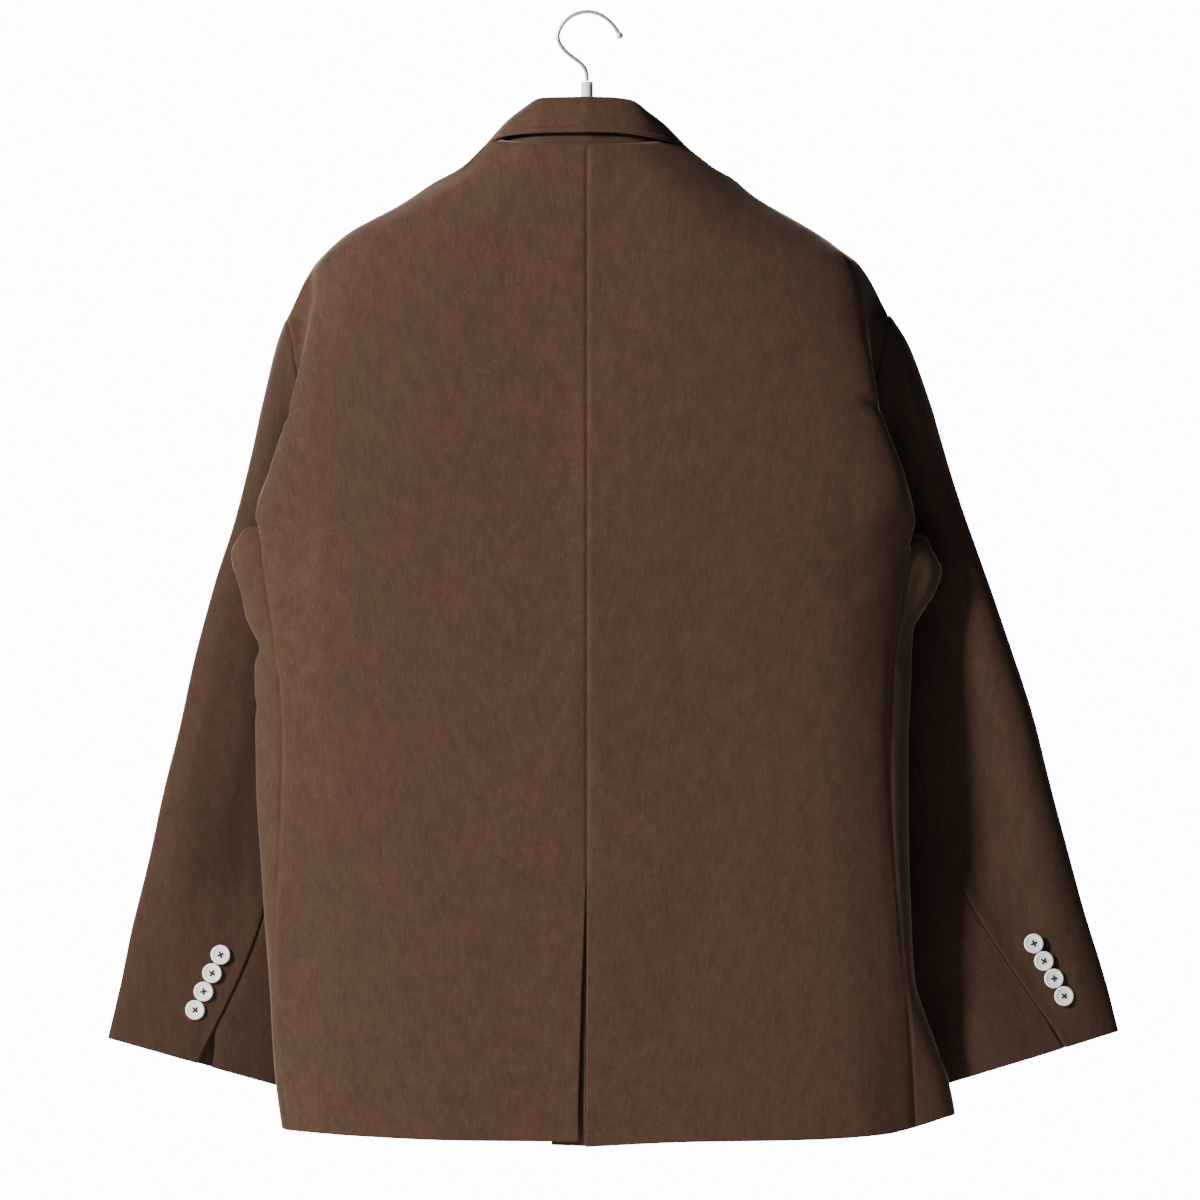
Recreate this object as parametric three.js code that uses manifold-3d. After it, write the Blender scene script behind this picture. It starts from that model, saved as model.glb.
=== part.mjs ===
// A tailored moleskin jacket hung on a hanger, empty, with its back towards +Y.
// Millimetres, +Z up, +X is the wearer's left. The origin is the inner top of the hanger's hook.
// Heights are given as drops below the origin. Cloth pieces are walls whose outer faces are
// worked out from tables of sections, and whose inner faces lie one wall further in.
import * as THREE from "three";
import { mergeVertices } from "three/addons/utils/BufferGeometryUtils.js";
import Module from "manifold-3d";

const wasm = await Module();
wasm.setup();

// Driving sizes
const CLOTH = 2; // wall of the cloth
const SEAM = 0.3; // gap between two sewn pieces
const LAPEL_AIR = 1.3; // between a front and the lapel that lies on it
const HEEL_EASE = 15; // degrees left open each way where the sleeve's back seam folds under the arm
const HEEL_LENGTH = 0.26; // share of the sleeve over which that closes
const UNDERARM_AIR = 1; // the side panel stops this much below the armhole
const BUTTON_AIR = 0.6; // between the cloth and a button
const NECK_DROP = 100; // neck seam at the centre of the back
const NECK_RISE = 6; // the neck seam rises this much towards the shoulders
const VENT_TOP = 658; // top of the centre vent
const BREAK_DROP = 425; // where the lapels start to turn back
const GORGE_DROP = 150; // where the collar meets the lapel at its fold
const WRAP = 18; // each front reaches this far past the middle
const TUCK = 5.6; // the right front lies this much further in under the left one
const CUFF_BUTTON = 15; // across
const CUFF_BUTTONS = 4; // on each sleeve, edge to edge
const FRONT_BUTTON = 20; // across
const BUTTON_THICK = 2.6;
const FRONT_BUTTON_DROPS = [440, 545, 650];
const HOOK_RADIUS = 23.3; // centre line of the wire
const HOOK_WIRE = 3; // across
const HOOK_TURNS = 8; // sides of the wire
const HOOK_STEPS = 44; // along the wire
const HANGER_REACH = 198; // from the middle to the end of an arm
const HANGER_WIDE = 13;
const HANGER_TALL = 15;
const HANGER_NECK = 9; // radius where it meets the arms
const HANGER_UNDER = 3.9; // below the outside of the shoulder seam
const HANGER_BEND = 92; // the arms rise to the neck inside this distance
const HANGER_RISE = 16;
const HANGER_Y = -1; // the hook and the neck lie this far from the middle of the frame
const NECK_TOP = 52; // drop of the top of the hanger's neck

// How the smaller forms run
const NECK_BLEND = 140; // drop at which the neck seam's rise has died out
const FRONT_LENGTH = 856;
const FRONT_HEM_RISE = 6; // from the front edge to the side
const FRONT_HEM_BLEND = 90;
const SEAM_SETTLE = 12; // below an underarm, where two panels start to share a direction
const LAPEL_ROLL = 1.2; // how far the lapel stands up near its fold
const COLLAR_BULGE = 3; // of the fold, to each side
const STAND_END = 0.33; // share of the collar's section where its stand stops
const FALL_START = 0.44; // and where its fall starts
const UNDERLAP_DROP = 861.5;
const UNDERLAP_REACH = [20, 27]; // past the middle, at the top of the vent and at the hem
const UNDERLAP_AIR = 2.6; // behind the face of the back
const UNDERLAP_SINK = 5; // further in at its free edge

// How finely the pieces are divided
const TINY = 1e-3;
const HEM_ROWS = 3;
const BACK_DROPS = [
  100, 106, 113, 121, 131, 145, 158, 170, 182, 196, 212, 224, 231, 238, 248, 262, 280, 300, 324,
  348, 362, 373, 384, 397, 416, 440, 465, 487, 515, 556, 600, 658, 710, 753,
];
const FRONT_DROPS = [
  100, 106, 113, 121, 131, 145, 158, 170, 182, 196, 212, 224, 231, 238, 250, 270, 300, 335, 370,
  397, 411, 425, 447, 470, 510, 556, 625, 700, 765, 790, 812, 830, 843, 851, 856,
];
const SIDE_ROWS = [0, 0.03, 0.07, 0.12, 0.17, 0.21, 0.26, 0.33, 0.42, 0.53, 0.65, 0.76, 0.86, 0.94, 1];
const SLEEVE_ROWS = 19;
const UPPER_COLUMNS = 13;
const UNDER_COLUMNS = 8;
const FRONT_SEAM_TURN = 232; // degrees round the sleeve
const SLEEVE_ROUND = 50; // mean radius, for the gap at its seams
const FIRST_ROW = 0.006; // the sleeve starts this share of its length below the armhole
const BACK_WIDE = 230; // flat widths, for the gaps at the panels' seams
const FRONT_WIDE = 200;
const SIDE_WIDE = 60;
const SIDE_GAP = 0.54; // the side panel's own share of the gap

// A table has its column names in one string and a row of numbers for each section.
function table(columns, rows) {
  const names = columns.split(" ");
  return rows.map((row) => Object.fromEntries(row.map((value, i) => [names[i], value])));
}

// A smooth line through values that doesn't overshoot them.
function smooth(at, values) {
  const last = at.length - 1;
  const step = at.slice(1).map((value, i) => value - at[i]);
  const rate = step.map((width, i) => (values[i + 1] - values[i]) / width);
  const slope = values.map((_, i) => {
    if (i === 0) return rate[0];
    if (i === last) return rate[last - 1];
    if (rate[i - 1] * rate[i] <= 0) return 0;
    const before = 2 * step[i] + step[i - 1];
    const after = step[i] + 2 * step[i - 1];
    return (before + after) / (before / rate[i - 1] + after / rate[i]);
  });
  return (place) => {
    const x = THREE.MathUtils.clamp(place, at[0], at[last]);
    let i = 0;
    while (i < last - 1 && x > at[i + 1]) i += 1;
    const t = (x - at[i]) / step[i];
    const rise = values[i + 1] - values[i];
    const bend = t * t * (3 - 2 * t);
    const start = t * (1 - t) * (1 - t) * step[i] * slope[i];
    const end = t * t * (t - 1) * step[i] * slope[i + 1];
    return values[i] + rise * bend + start + end;
  };
}

// Every column of a table as a smooth line over its first one.
function follow(rows) {
  const names = Object.keys(rows[0]);
  const at = rows.map((row) => row[names[0]]);
  const lines = names.slice(1).map((name) => [name, smooth(at, rows.map((row) => row[name]))]);
  return (place) => Object.fromEntries(lines.map(([name, line]) => [name, line(place)]));
}

// A smooth path through points, run from 0 to 1 by its length.
function path(points) {
  const at = [0];
  for (let i = 1; i < points.length; i += 1) {
    at.push(at[i - 1] + Math.max(points[i].distanceTo(points[i - 1]), 0.01));
  }
  const axes = ["x", "y", "z"].map((axis) => smooth(at, points.map((point) => point[axis])));
  const length = at[at.length - 1];
  return (part) => new THREE.Vector3(...axes.map((line) => line(part * length)));
}

function point(x, y, z) {
  return new THREE.Vector3(x, y, z);
}

function mix(a, b, part) {
  return a + (b - a) * part;
}

// The value between two bounds at which a rising or falling function meets a target.
function solve(value, target, low, high) {
  const rising = value(high) > value(low);
  let bottom = low;
  let top = high;
  for (let i = 0; i < 40; i += 1) {
    const middle = (bottom + top) / 2;
    if (value(middle) < target === rising) bottom = middle;
    else top = middle;
  }
  return (bottom + top) / 2;
}

function spread(count, from = 0, to = 1) {
  return Array.from({ length: count }, (_, i) => mix(from, to, i / (count - 1)));
}

// Sections of the jacket, one set for each side. x is the distance from the centre line.
const LEFT = {
  sign: 1,
  tip: point(229, -8, -232),
  under: point(204, -36, -428),
  armBack: point(-2, 34, 10),
  armFront: point(-22, -16, 0),
  heel: 26,
  sideTop: 383,
  frontTop: 412,
  ridge: table("drop x y", [
    [93, 68, -1], [99, 77, -1], [107, 84, -1], [117, 96, -1], [128, 117, -1.5], [145, 142, -2],
    [169, 185, -4], [179, 196, -5], [194, 210, -6], [232, 229, -8],
  ]),
  back: table("drop centreY midY nearY foldX foldY turnX turnY", [
    [94, 33, 29, 17, 66, 8, 69, 4],
    [99, 33.3, 29.5, 17.5, 73, 8, 76, 4],
    [117, 36, 33, 20.5, 91, 9, 95, 4.5],
    [145, 40, 37, 24.5, 134, 11, 139, 6],
    [169, 43, 40.5, 28, 175, 13.5, 181.5, 7],
    [190, 45, 42.5, 31.5, 197, 17, 203, 9],
    [212, 46.5, 44, 34, 203, 20, 209.5, 11],
    [232, 47.5, 45, 36, 208.5, 22, 214, 12],
    [262, 48, 45.5, 37, 216.5, 23, 217, 14],
    [300, 48, 45.5, 37, 225.5, 22, 225.5, 14],
    [348, 47.5, 45, 36.5, 241, 18, 241, 12],
    [373, 47, 44.5, 35.5, 249, 17, 249.5, 12],
    [383, 47, 44.3, 35, 241, 19, 246, 14],
    [406, 46.5, 44, 34, 236, 19, 244, 13],
    [440, 45.5, 43, 33.5, 232, 20, 240, 15],
    [487, 43.5, 41, 32.5, 226, 21.5, 234, 17.5],
    [556, 41, 38.5, 31, 220, 22, 228, 19],
    [627, 39.5, 37, 30, 222, 21.5, 230, 18.5],
    [715, 38, 36, 29, 226, 20, 234, 17.5],
    [790, 37, 35, 27.5, 224, 17, 231, 13.5],
    [860, 36, 34, 26, 214, 14, 222, 10],
  ]),
  sideSeam: table("drop x y", [
    [406, 248, 9], [440, 244, 12], [464, 240, 14], [487, 238, 15], [511, 234, 16], [556, 232, 17],
    [627, 234, 17], [715, 238, 16], [753, 238, 14], [860, 226, 8],
  ]),
  bodyEdge: table("drop x y", [
    [383, 253, 6], [393, 261, 0], [402, 267, -3],
    [411, 271, -5], [442, 263, -2], [459, 259, -2], [481, 251, 0], [500, 253, 1], [593, 252, 2],
    [637, 249, 2], [686, 246, 2], [744, 242, 2], [802, 238, 1], [860, 230, 0],
  ]),
  hem: table("across drop", [[0, 858], [0.4, 857.3], [0.75, 854], [1, 850]]),
  sideTopShare: table("across share", [[0, 0], [0.3, 0.25], [0.55, 0.6], [0.8, 1.2], [1, 1.75]]),
  sideHem: table("across drop", [[0, 850], [0.4, 848], [1, 851]]),
  vent: table("drop x", [[650, 0], [702, 2], [737, 3.5], [804, 5.5], [833, 6.5], [860, 6]]),
  sleeve: table("drop outX outY inX inY inDrop backX backY frontX frontY heel", [
    [252, 236, -13, 204, -37, 430, -2, 32, -20, -16, 12],
    [294, 246, -22, 204, -38, 433, -2, 29, -15, -18, 2],
    [337, 256, -30, 203, -39, 437, -1, 26, -8, -21, 0],
    [391, 270, -36, 200, -40, 445, 0, 24, -3, -24, 0],
    [434, 284, -38, 192, -40, 462, 0, 24, 0, -26, 0],
    [488, 299, -38, 183, -41, 512, 0, 24.5, 0, -26, 0],
    [551, 312, -37, 181, -40, 580, 0, 24, 0, -25, 0],
    [598, 324, -35, 187, -38, 632, 0, 22, 0, -23, 0],
    [643, 334, -33, 194, -35, 680, 0, 20, 0, -21, 0],
    [695, 347, -30, 206, -31, 732, 0, 17, 0, -18, 0],
    [738, 356, -28, 218, -28, 776, 0, 14, 0, -15, 0],
    [780, 366, -27, 230, -27, 818, 0, 12, 0, -13, 0],
  ]),
  backSeam: table("part angle", [[0, 124], [0.4, 120], [0.8, 107], [1, 91]]),
  cuffButtons: table("x drop", [[279, 716.5], [298.3, 758.5]]),
};

const RIGHT = {
  sign: -1,
  tip: point(230, -8, -229),
  under: point(204, -36, -434),
  armBack: point(-4, 34, 10),
  armFront: point(-22, -16, 0),
  heel: 26,
  sideTop: 388,
  frontTop: 418,
  ridge: table("drop x y", [
    [93, 68, -1], [103, 78, -1], [114, 90, -1], [124, 110, -1.5], [140, 129, -2], [159, 162, -3],
    [172, 183, -4], [180, 193, -5], [190, 207, -6], [229, 230, -8],
  ]),
  back: table("drop centreY midY nearY foldX foldY turnX turnY", [
    [94, 33, 29, 17, 66, 8, 69, 4],
    [99, 33.3, 29.5, 17.5, 70, 8, 73, 4],
    [117, 36, 33, 20.5, 91, 9, 95, 4.5],
    [145, 40, 37, 24.5, 130, 11, 135, 6],
    [169, 43, 40.5, 28, 170, 13.5, 176, 7],
    [190, 45, 42.5, 31.5, 198, 17, 203, 9],
    [212, 46.5, 44, 34, 207, 20, 212, 11],
    [231, 47.5, 45, 36, 209.5, 22, 215, 12],
    [262, 48, 45.5, 37, 216, 23, 216.5, 14],
    [300, 48, 45.5, 37, 223, 22, 223, 14],
    [355, 47.5, 45, 36.5, 242, 18, 242, 12],
    [376, 47, 44.5, 35.5, 246.5, 18, 247, 13],
    [388, 47, 44.3, 35, 240, 19, 245, 14],
    [407, 46.5, 44, 34, 236, 19, 243, 13],
    [446, 45.5, 43, 33.5, 230, 20, 237, 15],
    [501, 43, 40.5, 32.5, 222, 21.5, 229, 17.5],
    [556, 41, 38.5, 31, 219, 22, 226, 19],
    [602, 40, 37.5, 30.5, 220, 22, 227, 19],
    [691, 38.5, 36, 29, 228, 20, 234, 17.5],
    [763, 37.5, 35, 27.5, 236, 17, 242, 14],
    [860, 36, 34, 26, 240, 12, 247, 9],
  ]),
  sideSeam: table("drop x y", [
    [407, 247, 9], [446, 240, 12], [472, 236, 14], [501, 232, 15], [545, 230, 16], [602, 231, 17],
    [657, 235, 17], [691, 238, 16], [734, 242, 15], [763, 245, 13], [860, 249, 7],
  ]),
  bodyEdge: table("drop x y", [
    [388, 251, 6], [396, 257, 0.5], [408, 263, -3],
    [424, 270, -5], [439, 266, -3], [456, 256, -3], [469, 249, 0], [494, 248, 1], [566, 245, 2],
    [627, 245, 2], [695, 247, 2], [738, 250, 1], [763, 258, -1], [786, 266, -3], [812, 275, -5],
    [860, 284, -7],
  ]),
  hem: table("across drop", [[0, 862], [0.3, 858.5], [0.65, 857], [0.9, 853], [1, 848]]),
  sideTopShare: table("across share", [[0, 0], [0.3, 0.25], [0.55, 0.6], [0.8, 1.2], [1, 1.65]]),
  sideHem: table("across drop", [[0, 848], [0.3, 838], [0.6, 832], [1, 846]]),
  vent: table("drop x", [[650, 0], [860, -1]]),
  sleeve: table("drop outX outY inX inY inDrop backX backY frontX frontY heel", [
    [252, 245, -13, 204, -37, 435, -2, 32, -20, -16, 14],
    [294, 261, -22, 204, -38, 437, -2, 29, -15, -18, 4],
    [326, 271, -30, 203, -39, 440, -1, 26, -8, -21, 0],
    [366, 284, -36, 200, -40, 447, 0, 24, -3, -24, 0],
    [410, 299, -38, 194, -40, 466, 0, 24, 0, -26, 0],
    [457, 315, -38, 190, -41, 504, 0, 24.5, 0, -26, 0],
    [527, 337, -37, 198, -40, 568, 0, 24, 0, -25, 0],
    [580, 351, -35, 210, -38, 624, 0, 22, 0, -23, 0],
    [637, 367, -33, 225, -35, 680, 0, 20, 0, -21, 0],
    [680, 379, -30, 237, -32, 724, 0, 17, 0, -18, 0],
    [730, 394, -28, 252, -29, 772, 0, 14, 0, -15, 0],
    [775, 405, -27, 268, -28, 817, 0, 12, 0, -13, 0],
  ]),
  backSeam: table("part angle", [[0, 124], [0.4, 118], [0.75, 100], [1, 66]]),
  cuffButtons: table("x drop", [[340, 708], [363, 748]]),
};

// The fronts, alike on both sides apart from the tuck: edgeX is the roll line, then the front edge.
const FRONT = table("drop edgeX centreY midY nearY", [
  [99, 71, -8, -7, -4],
  [117, 67, -24, -22, -13],
  [145, 59, -34, -33, -22],
  [169, 53, -38, -38, -28],
  [190, 47, -40, -40.5, -32],
  [232, 35, -43, -43.5, -37],
  [262, 27, -44, -45, -41],
  [321, 10.7, -45, -46, -44],
  [397, -10.3, -45, -45, -36],
  [425, -WRAP, -45, -44, -30],
  [470, -WRAP, -44.5, -41.5, -25],
  [556, -WRAP, -43, -40, -25],
  [700, -WRAP, -41.5, -38, -24],
  [770, -WRAP, -41, -37.5, -23.5],
  [800, -15.5, -40.7, -37.2, -23.3],
  [825, -8, -40.5, -37, -23.2],
  [842, 3, -40.3, -37, -23.1],
  [852, 16, -40.2, -37, -23],
  [857, 32, -40, -37, -23],
]);
const FRONT_SEAM = table("drop x y", [
  [434, 204, -8], [455, 205, -6], [500, 206, -9], [700, 206, -11], [860, 200, -12],
]);
const LAPEL_EDGE = table("drop x", [
  [168, 136], [200, 130], [250, 114], [300, 91], [350, 60], [400, 17], [424, -11],
]);

// Collar stations from the centre of the back to the notch: seam, fold top and free edge.
const COLLAR = table("part neckX neckY neckDrop topX topY topDrop edgeX edgeY edgeDrop", [
  [0, 0, 28.7, 102.6, 0, 27, 64, 0, 41.5, 91],
  [0.16, 33.3, 25.2, 101.9, 33, 21.5, 64.5, 37, 38, 91.5],
  [0.32, 54.3, 15, 100.8, 46.5, 12, 71, 63, 23, 93.5],
  [0.48, 65.5, 0, 98.3, 57, -1, 83, 77, 2, 96.5],
  [0.64, 68.5, -14, 103, 59.5, -18.5, 96.5, 95, -13.5, 115.5],
  [0.8, 65.5, -28, 124, 61, -33, 121, 112, -30, 138.5],
  [1, 58, -36, 147.5, 54, -40, 146.5, 98, -40.5, 157.5],
]);

const frontLine = follow(FRONT);
const collarLine = follow(COLLAR);
const lapelLine = follow(LAPEL_EDGE);
for (const side of [LEFT, RIGHT]) {
  side.ridgeLine = follow(side.ridge);
  side.backLine = follow(side.back);
  side.hemLine = follow(side.hem);
  side.sideHemLine = follow(side.sideHem);
  side.sideTopLine = follow(side.sideTopShare);
  side.ventLine = follow(side.vent);
  side.seamAngle = follow(side.backSeam);
  const backJoin = armholeAt(side, side.sideTop, 1);
  const frontJoin = armholeAt(side, side.frontTop, -1);
  const seamStart = { drop: side.sideTop, x: backJoin.x, y: backJoin.y };
  const frontStart = { drop: side.frontTop, x: frontJoin.x, y: frontJoin.y };
  side.sideSeamLine = follow([seamStart, ...side.sideSeam]);
  side.frontSeamLine = follow([frontStart, ...FRONT_SEAM]);
  side.bodyEdgeLine = follow(side.bodyEdge);
  side.rings = [armholeRing(side), ...side.sleeve.map(sleeveRing)];
}

// A ring through its outer and inner points, bowed to the back and the front. Its heel pushes the
// lower part of the back out, round the side of the body.
function armholeRing(side) {
  const { tip, under, armBack, armFront, heel } = side;
  return { out: tip, inner: under, back: armBack, front: armFront, heel };
}

function sleeveRing(row) {
  return {
    out: point(row.outX, row.outY, -row.drop),
    inner: point(row.inX, row.inY, -row.inDrop),
    back: point(row.backX, row.backY, 0),
    front: point(row.frontX, row.frontY, 0),
    heel: row.heel,
  };
}

// A turn of 0 is the outer point, 90 degrees the back, 180 the inner point and 270 the front.
function ringPoint(ring, turn) {
  const middle = ring.out.clone().add(ring.inner).multiplyScalar(0.5);
  const half = ring.out.clone().sub(ring.inner).multiplyScalar(0.5);
  const bow = Math.sin(turn) > 0 ? ring.back : ring.front;
  const rise = Math.abs(Math.sin(turn));
  const bowed = point(bow.x * rise * rise, bow.y * rise, bow.z * rise * rise);
  const low = (1 - Math.cos(turn)) / 2;
  if (Math.sin(turn) > 0) bowed.x += ring.heel * rise * rise * low ** 3;
  return middle.addScaledVector(half, Math.cos(turn)).add(bowed);
}

// The point of the armhole at a drop, on its back with way 1 and on its front with way -1.
function armholeAt(side, drop, way) {
  const ring = armholeRing(side);
  const turn = solve((angle) => -ringPoint(ring, way * angle).z, drop, 0, Math.PI);
  return ringPoint(ring, way * turn);
}

// Where the back panel ends: the shoulder seam, then the armhole, then the side seam.
function backEnd(side, drop) {
  if (drop <= -side.tip.z) return side.ridgeLine(drop);
  if (drop < side.sideTop) return armholeAt(side, drop, 1);
  return side.sideSeamLine(drop);
}

function frontEnd(side, drop) {
  if (drop <= -side.tip.z) return side.ridgeLine(drop);
  if (drop < side.frontTop) return armholeAt(side, drop, -1);
  return side.frontSeamLine(drop);
}

function backPoint(side, across, drop) {
  const row = side.backLine(drop);
  const end = backEnd(side, drop);
  const start = drop > VENT_TOP ? side.ventLine(drop).x : 0;
  return path([
    point(start, row.centreY, -drop),
    point(row.foldX * 0.5, row.midY, -drop),
    point(row.foldX * 0.85, row.nearY, -drop),
    point(row.foldX, row.foldY, -drop),
    point(row.turnX, row.turnY, -drop),
    point(end.x, end.y, -drop),
  ])(across);
}

function frontPoint(side, across, drop) {
  const row = frontLine(drop);
  const end = frontEnd(side, drop);
  const place = path([
    point(row.edgeX, row.centreY, -drop),
    point(mix(row.edgeX, end.x, 0.4), row.midY, -drop),
    point(mix(row.edgeX, end.x, 0.75), row.nearY, -drop),
    point(mix(row.edgeX, end.x, 0.93), mix(row.nearY, end.y, 0.65), -drop),
    point(end.x, end.y, -drop),
  ])(across);
  if (side.sign < 0) place.y += TUCK * (1 - THREE.MathUtils.smoothstep(place.x, 22, 62));
  return place;
}

function sidePoint(side, across, drop) {
  const back = side.sideSeamLine(drop);
  const edge = side.bodyEdgeLine(drop);
  const front = side.frontSeamLine(Math.max(drop, FRONT_SEAM[0].drop));
  return path([
    point(back.x, back.y, -drop),
    point(mix(back.x, edge.x, 0.7), mix(back.y, edge.y, 0.45), -drop),
    point(edge.x, edge.y, -drop),
    point(mix(edge.x, front.x, 0.2), mix(edge.y, front.y, 0.7), -drop),
    point(mix(edge.x, front.x, 0.6), mix(edge.y, front.y, 0.97), -drop),
    point(front.x, front.y, -drop),
  ])(across);
}

function sleevePoint(side, turn, part) {
  const last = side.rings.length - 1;
  const at = part * last;
  const low = Math.min(Math.floor(at), last - 1);
  const near = [low - 1, low, low + 1, low + 2].map((i) => THREE.MathUtils.clamp(i, 0, last));
  const [before, from, to, after] = near.map((i) => ringPoint(side.rings[i], turn));
  const t = at - low;
  const spline = new THREE.CatmullRomCurve3([before, from, to, after]);
  if (low === 0) spline.points[0] = from.clone().multiplyScalar(2).sub(to);
  if (low === last - 1) spline.points[3] = to.clone().multiplyScalar(2).sub(from);
  return spline.getPoint((1 + t) / 3);
}

// The outward direction of a panel at a drop: facing is 1 where across x down points outwards.
function outwardOf(panel, side, across, drop, facing) {
  const alongU = panel(side, across + TINY, drop).sub(panel(side, across - TINY, drop));
  const alongV = panel(side, across, drop + 0.5).sub(panel(side, across, drop - 0.5));
  return alongU.cross(alongV).normalize().multiplyScalar(facing);
}

// Two pieces that meet at a seam share the outward direction there, so that their walls don't cross.
function shoulderOutward(side, drop) {
  const back = outwardOf(backPoint, side, 0.995, drop, 1);
  const front = outwardOf(frontPoint, side, 0.995, drop, -1);
  const shared = back.add(front);
  shared.y = 0;
  return shared.normalize();
}

function sideSeamOutward(side, drop) {
  const back = outwardOf(backPoint, side, 0.99, drop, 1);
  return back.add(outwardOf(sidePoint, side, 0.02, drop, 1)).normalize();
}

function frontSeamOutward(side, drop) {
  const front = outwardOf(frontPoint, side, 0.99, drop, -1);
  return front.add(outwardOf(sidePoint, side, 0.98, drop, 1)).normalize();
}

function backEdgeOutward(side, drop) {
  if (drop < -side.tip.z) return shoulderOutward(side, drop);
  return drop > side.sideTop + SEAM_SETTLE ? sideSeamOutward(side, drop) : null;
}

function frontEdgeOutward(side, drop) {
  if (drop < -side.tip.z) return shoulderOutward(side, drop);
  return drop > side.frontTop + SEAM_SETTLE ? frontSeamOutward(side, drop) : null;
}

// The solid wall behind a grid of outer points. An edge can be given its own outward direction.
function wall(surface, across, down, facing, edges = {}) {
  const own = (place, edge) => (edge ? edge(-place.z, place) : null);
  const outer = [];
  const inner = [];
  for (const v of down) {
    for (const u of across) {
      const place = surface(u, v);
      const alongU = surface(u + TINY, v).sub(surface(u - TINY, v));
      const alongV = surface(u, v + TINY).sub(surface(u, v - TINY));
      const direct = alongU.cross(alongV).normalize().multiplyScalar(facing);
      const shared = own(place, u === across[0] ? edges.first : null)
        ?? own(place, u === across[across.length - 1] ? edges.last : null);
      const normal = shared ?? direct;
      outer.push(place);
      inner.push(place.clone().addScaledVector(normal, -CLOTH));
    }
  }
  const columns = across.length;
  const rows = down.length;
  const all = [...outer, ...inner];
  const back = outer.length;
  const faces = [];
  const quad = (a, b, c, d) => {
    if (facing > 0) faces.push(a, b, d, b, c, d);
    else faces.push(a, d, b, b, d, c);
  };
  for (let r = 0; r < rows - 1; r += 1) {
    for (let c = 0; c < columns - 1; c += 1) {
      const a = r * columns + c;
      quad(a, a + 1, a + columns + 1, a + columns);
      quad(back + a + columns, back + a + columns + 1, back + a + 1, back + a);
    }
    const left = r * columns;
    const right = left + columns - 1;
    quad(left + columns, back + left + columns, back + left, left);
    quad(right, back + right, back + right + columns, right + columns);
  }
  for (let c = 0; c < columns - 1; c += 1) {
    const foot = (rows - 1) * columns + c;
    quad(c, back + c, back + c + 1, c + 1);
    quad(foot + 1, back + foot + 1, back + foot, foot);
  }
  const geometry = new THREE.BufferGeometry();
  geometry.setAttribute("position", new THREE.Float32BufferAttribute(all.flatMap((p) => p.toArray()), 3));
  geometry.setIndex(faces);
  return geometry;
}

// A closed body through rings of points.
function loft(rings) {
  const count = rings[0].length;
  const points = rings.flat();
  const faces = [];
  for (let r = 0; r < rings.length - 1; r += 1) {
    for (let c = 0; c < count; c += 1) {
      const a = r * count + c;
      const b = r * count + ((c + 1) % count);
      faces.push(a, b, a + count, b, b + count, a + count);
    }
  }
  for (let c = 1; c < count - 1; c += 1) {
    const end = (rings.length - 1) * count;
    faces.push(0, c + 1, c, end, end + c, end + c + 1);
  }
  const geometry = new THREE.BufferGeometry();
  const numbers = points.flatMap((p) => p.toArray());
  geometry.setAttribute("position", new THREE.Float32BufferAttribute(numbers, 3));
  geometry.setIndex(faces);
  return geometry;
}

// The other half of the jacket is worked out with the same signs and then mirrored.
function onSide(side, geometry) {
  if (side.sign > 0) return geometry;
  geometry.scale(-1, 1, 1);
  const index = geometry.index.array;
  for (let i = 0; i < index.length; i += 3) [index[i], index[i + 1]] = [index[i + 1], index[i]];
  return geometry;
}

const jacket = new THREE.Group();
const COLOURS = {
  moleskin: { color: 0x5f4436, roughness: 0.95, metalness: 0 },
  button: { color: 0xe9e4da, roughness: 0.35, metalness: 0 },
  hanger: { color: 0xf1efec, roughness: 0.5, metalness: 0 },
  chrome: { color: 0xc9ccd0, roughness: 0.2, metalness: 1 },
};

function add(name, geometry, colour) {
  geometry.computeVertexNormals();
  const mesh = new THREE.Mesh(geometry, new THREE.MeshStandardMaterial(COLOURS[colour]));
  mesh.name = name;
  jacket.add(mesh);
  return mesh;
}

// Rows of a panel: fixed drops first, then evenly down to a hem that slopes.
function downTo(drops, hem, across, place) {
  const last = drops.length - 1;
  if (place <= last) {
    const low = Math.min(Math.floor(Math.max(place, 0)), last - 1);
    return mix(drops[low], drops[low + 1], place - low);
  }
  return mix(drops[last], hem(across).drop, (place - last) / HEM_ROWS);
}

function backPanel(side) {
  const surface = (across, place) => {
    const drop = downTo(BACK_DROPS, side.hemLine, across, place);
    const rise = NECK_RISE * across * across * (1 - THREE.MathUtils.smoothstep(drop, NECK_DROP, NECK_BLEND));
    return backPoint(side, across, drop - rise);
  };
  const rows = spread(BACK_DROPS.length + HEM_ROWS, 0, BACK_DROPS.length + HEM_ROWS - 1);
  const edge = SEAM / 2 / BACK_WIDE;
  const columns = [edge, 0.13, 0.27, 0.41, 0.55, 0.68, 0.78, 0.86, 0.92, 0.96, 1 - edge];
  const edges = { first: () => point(0, 1, 0), last: (drop) => backEdgeOutward(side, drop) };
  return onSide(side, wall(surface, columns, rows, 1, edges));
}

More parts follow.
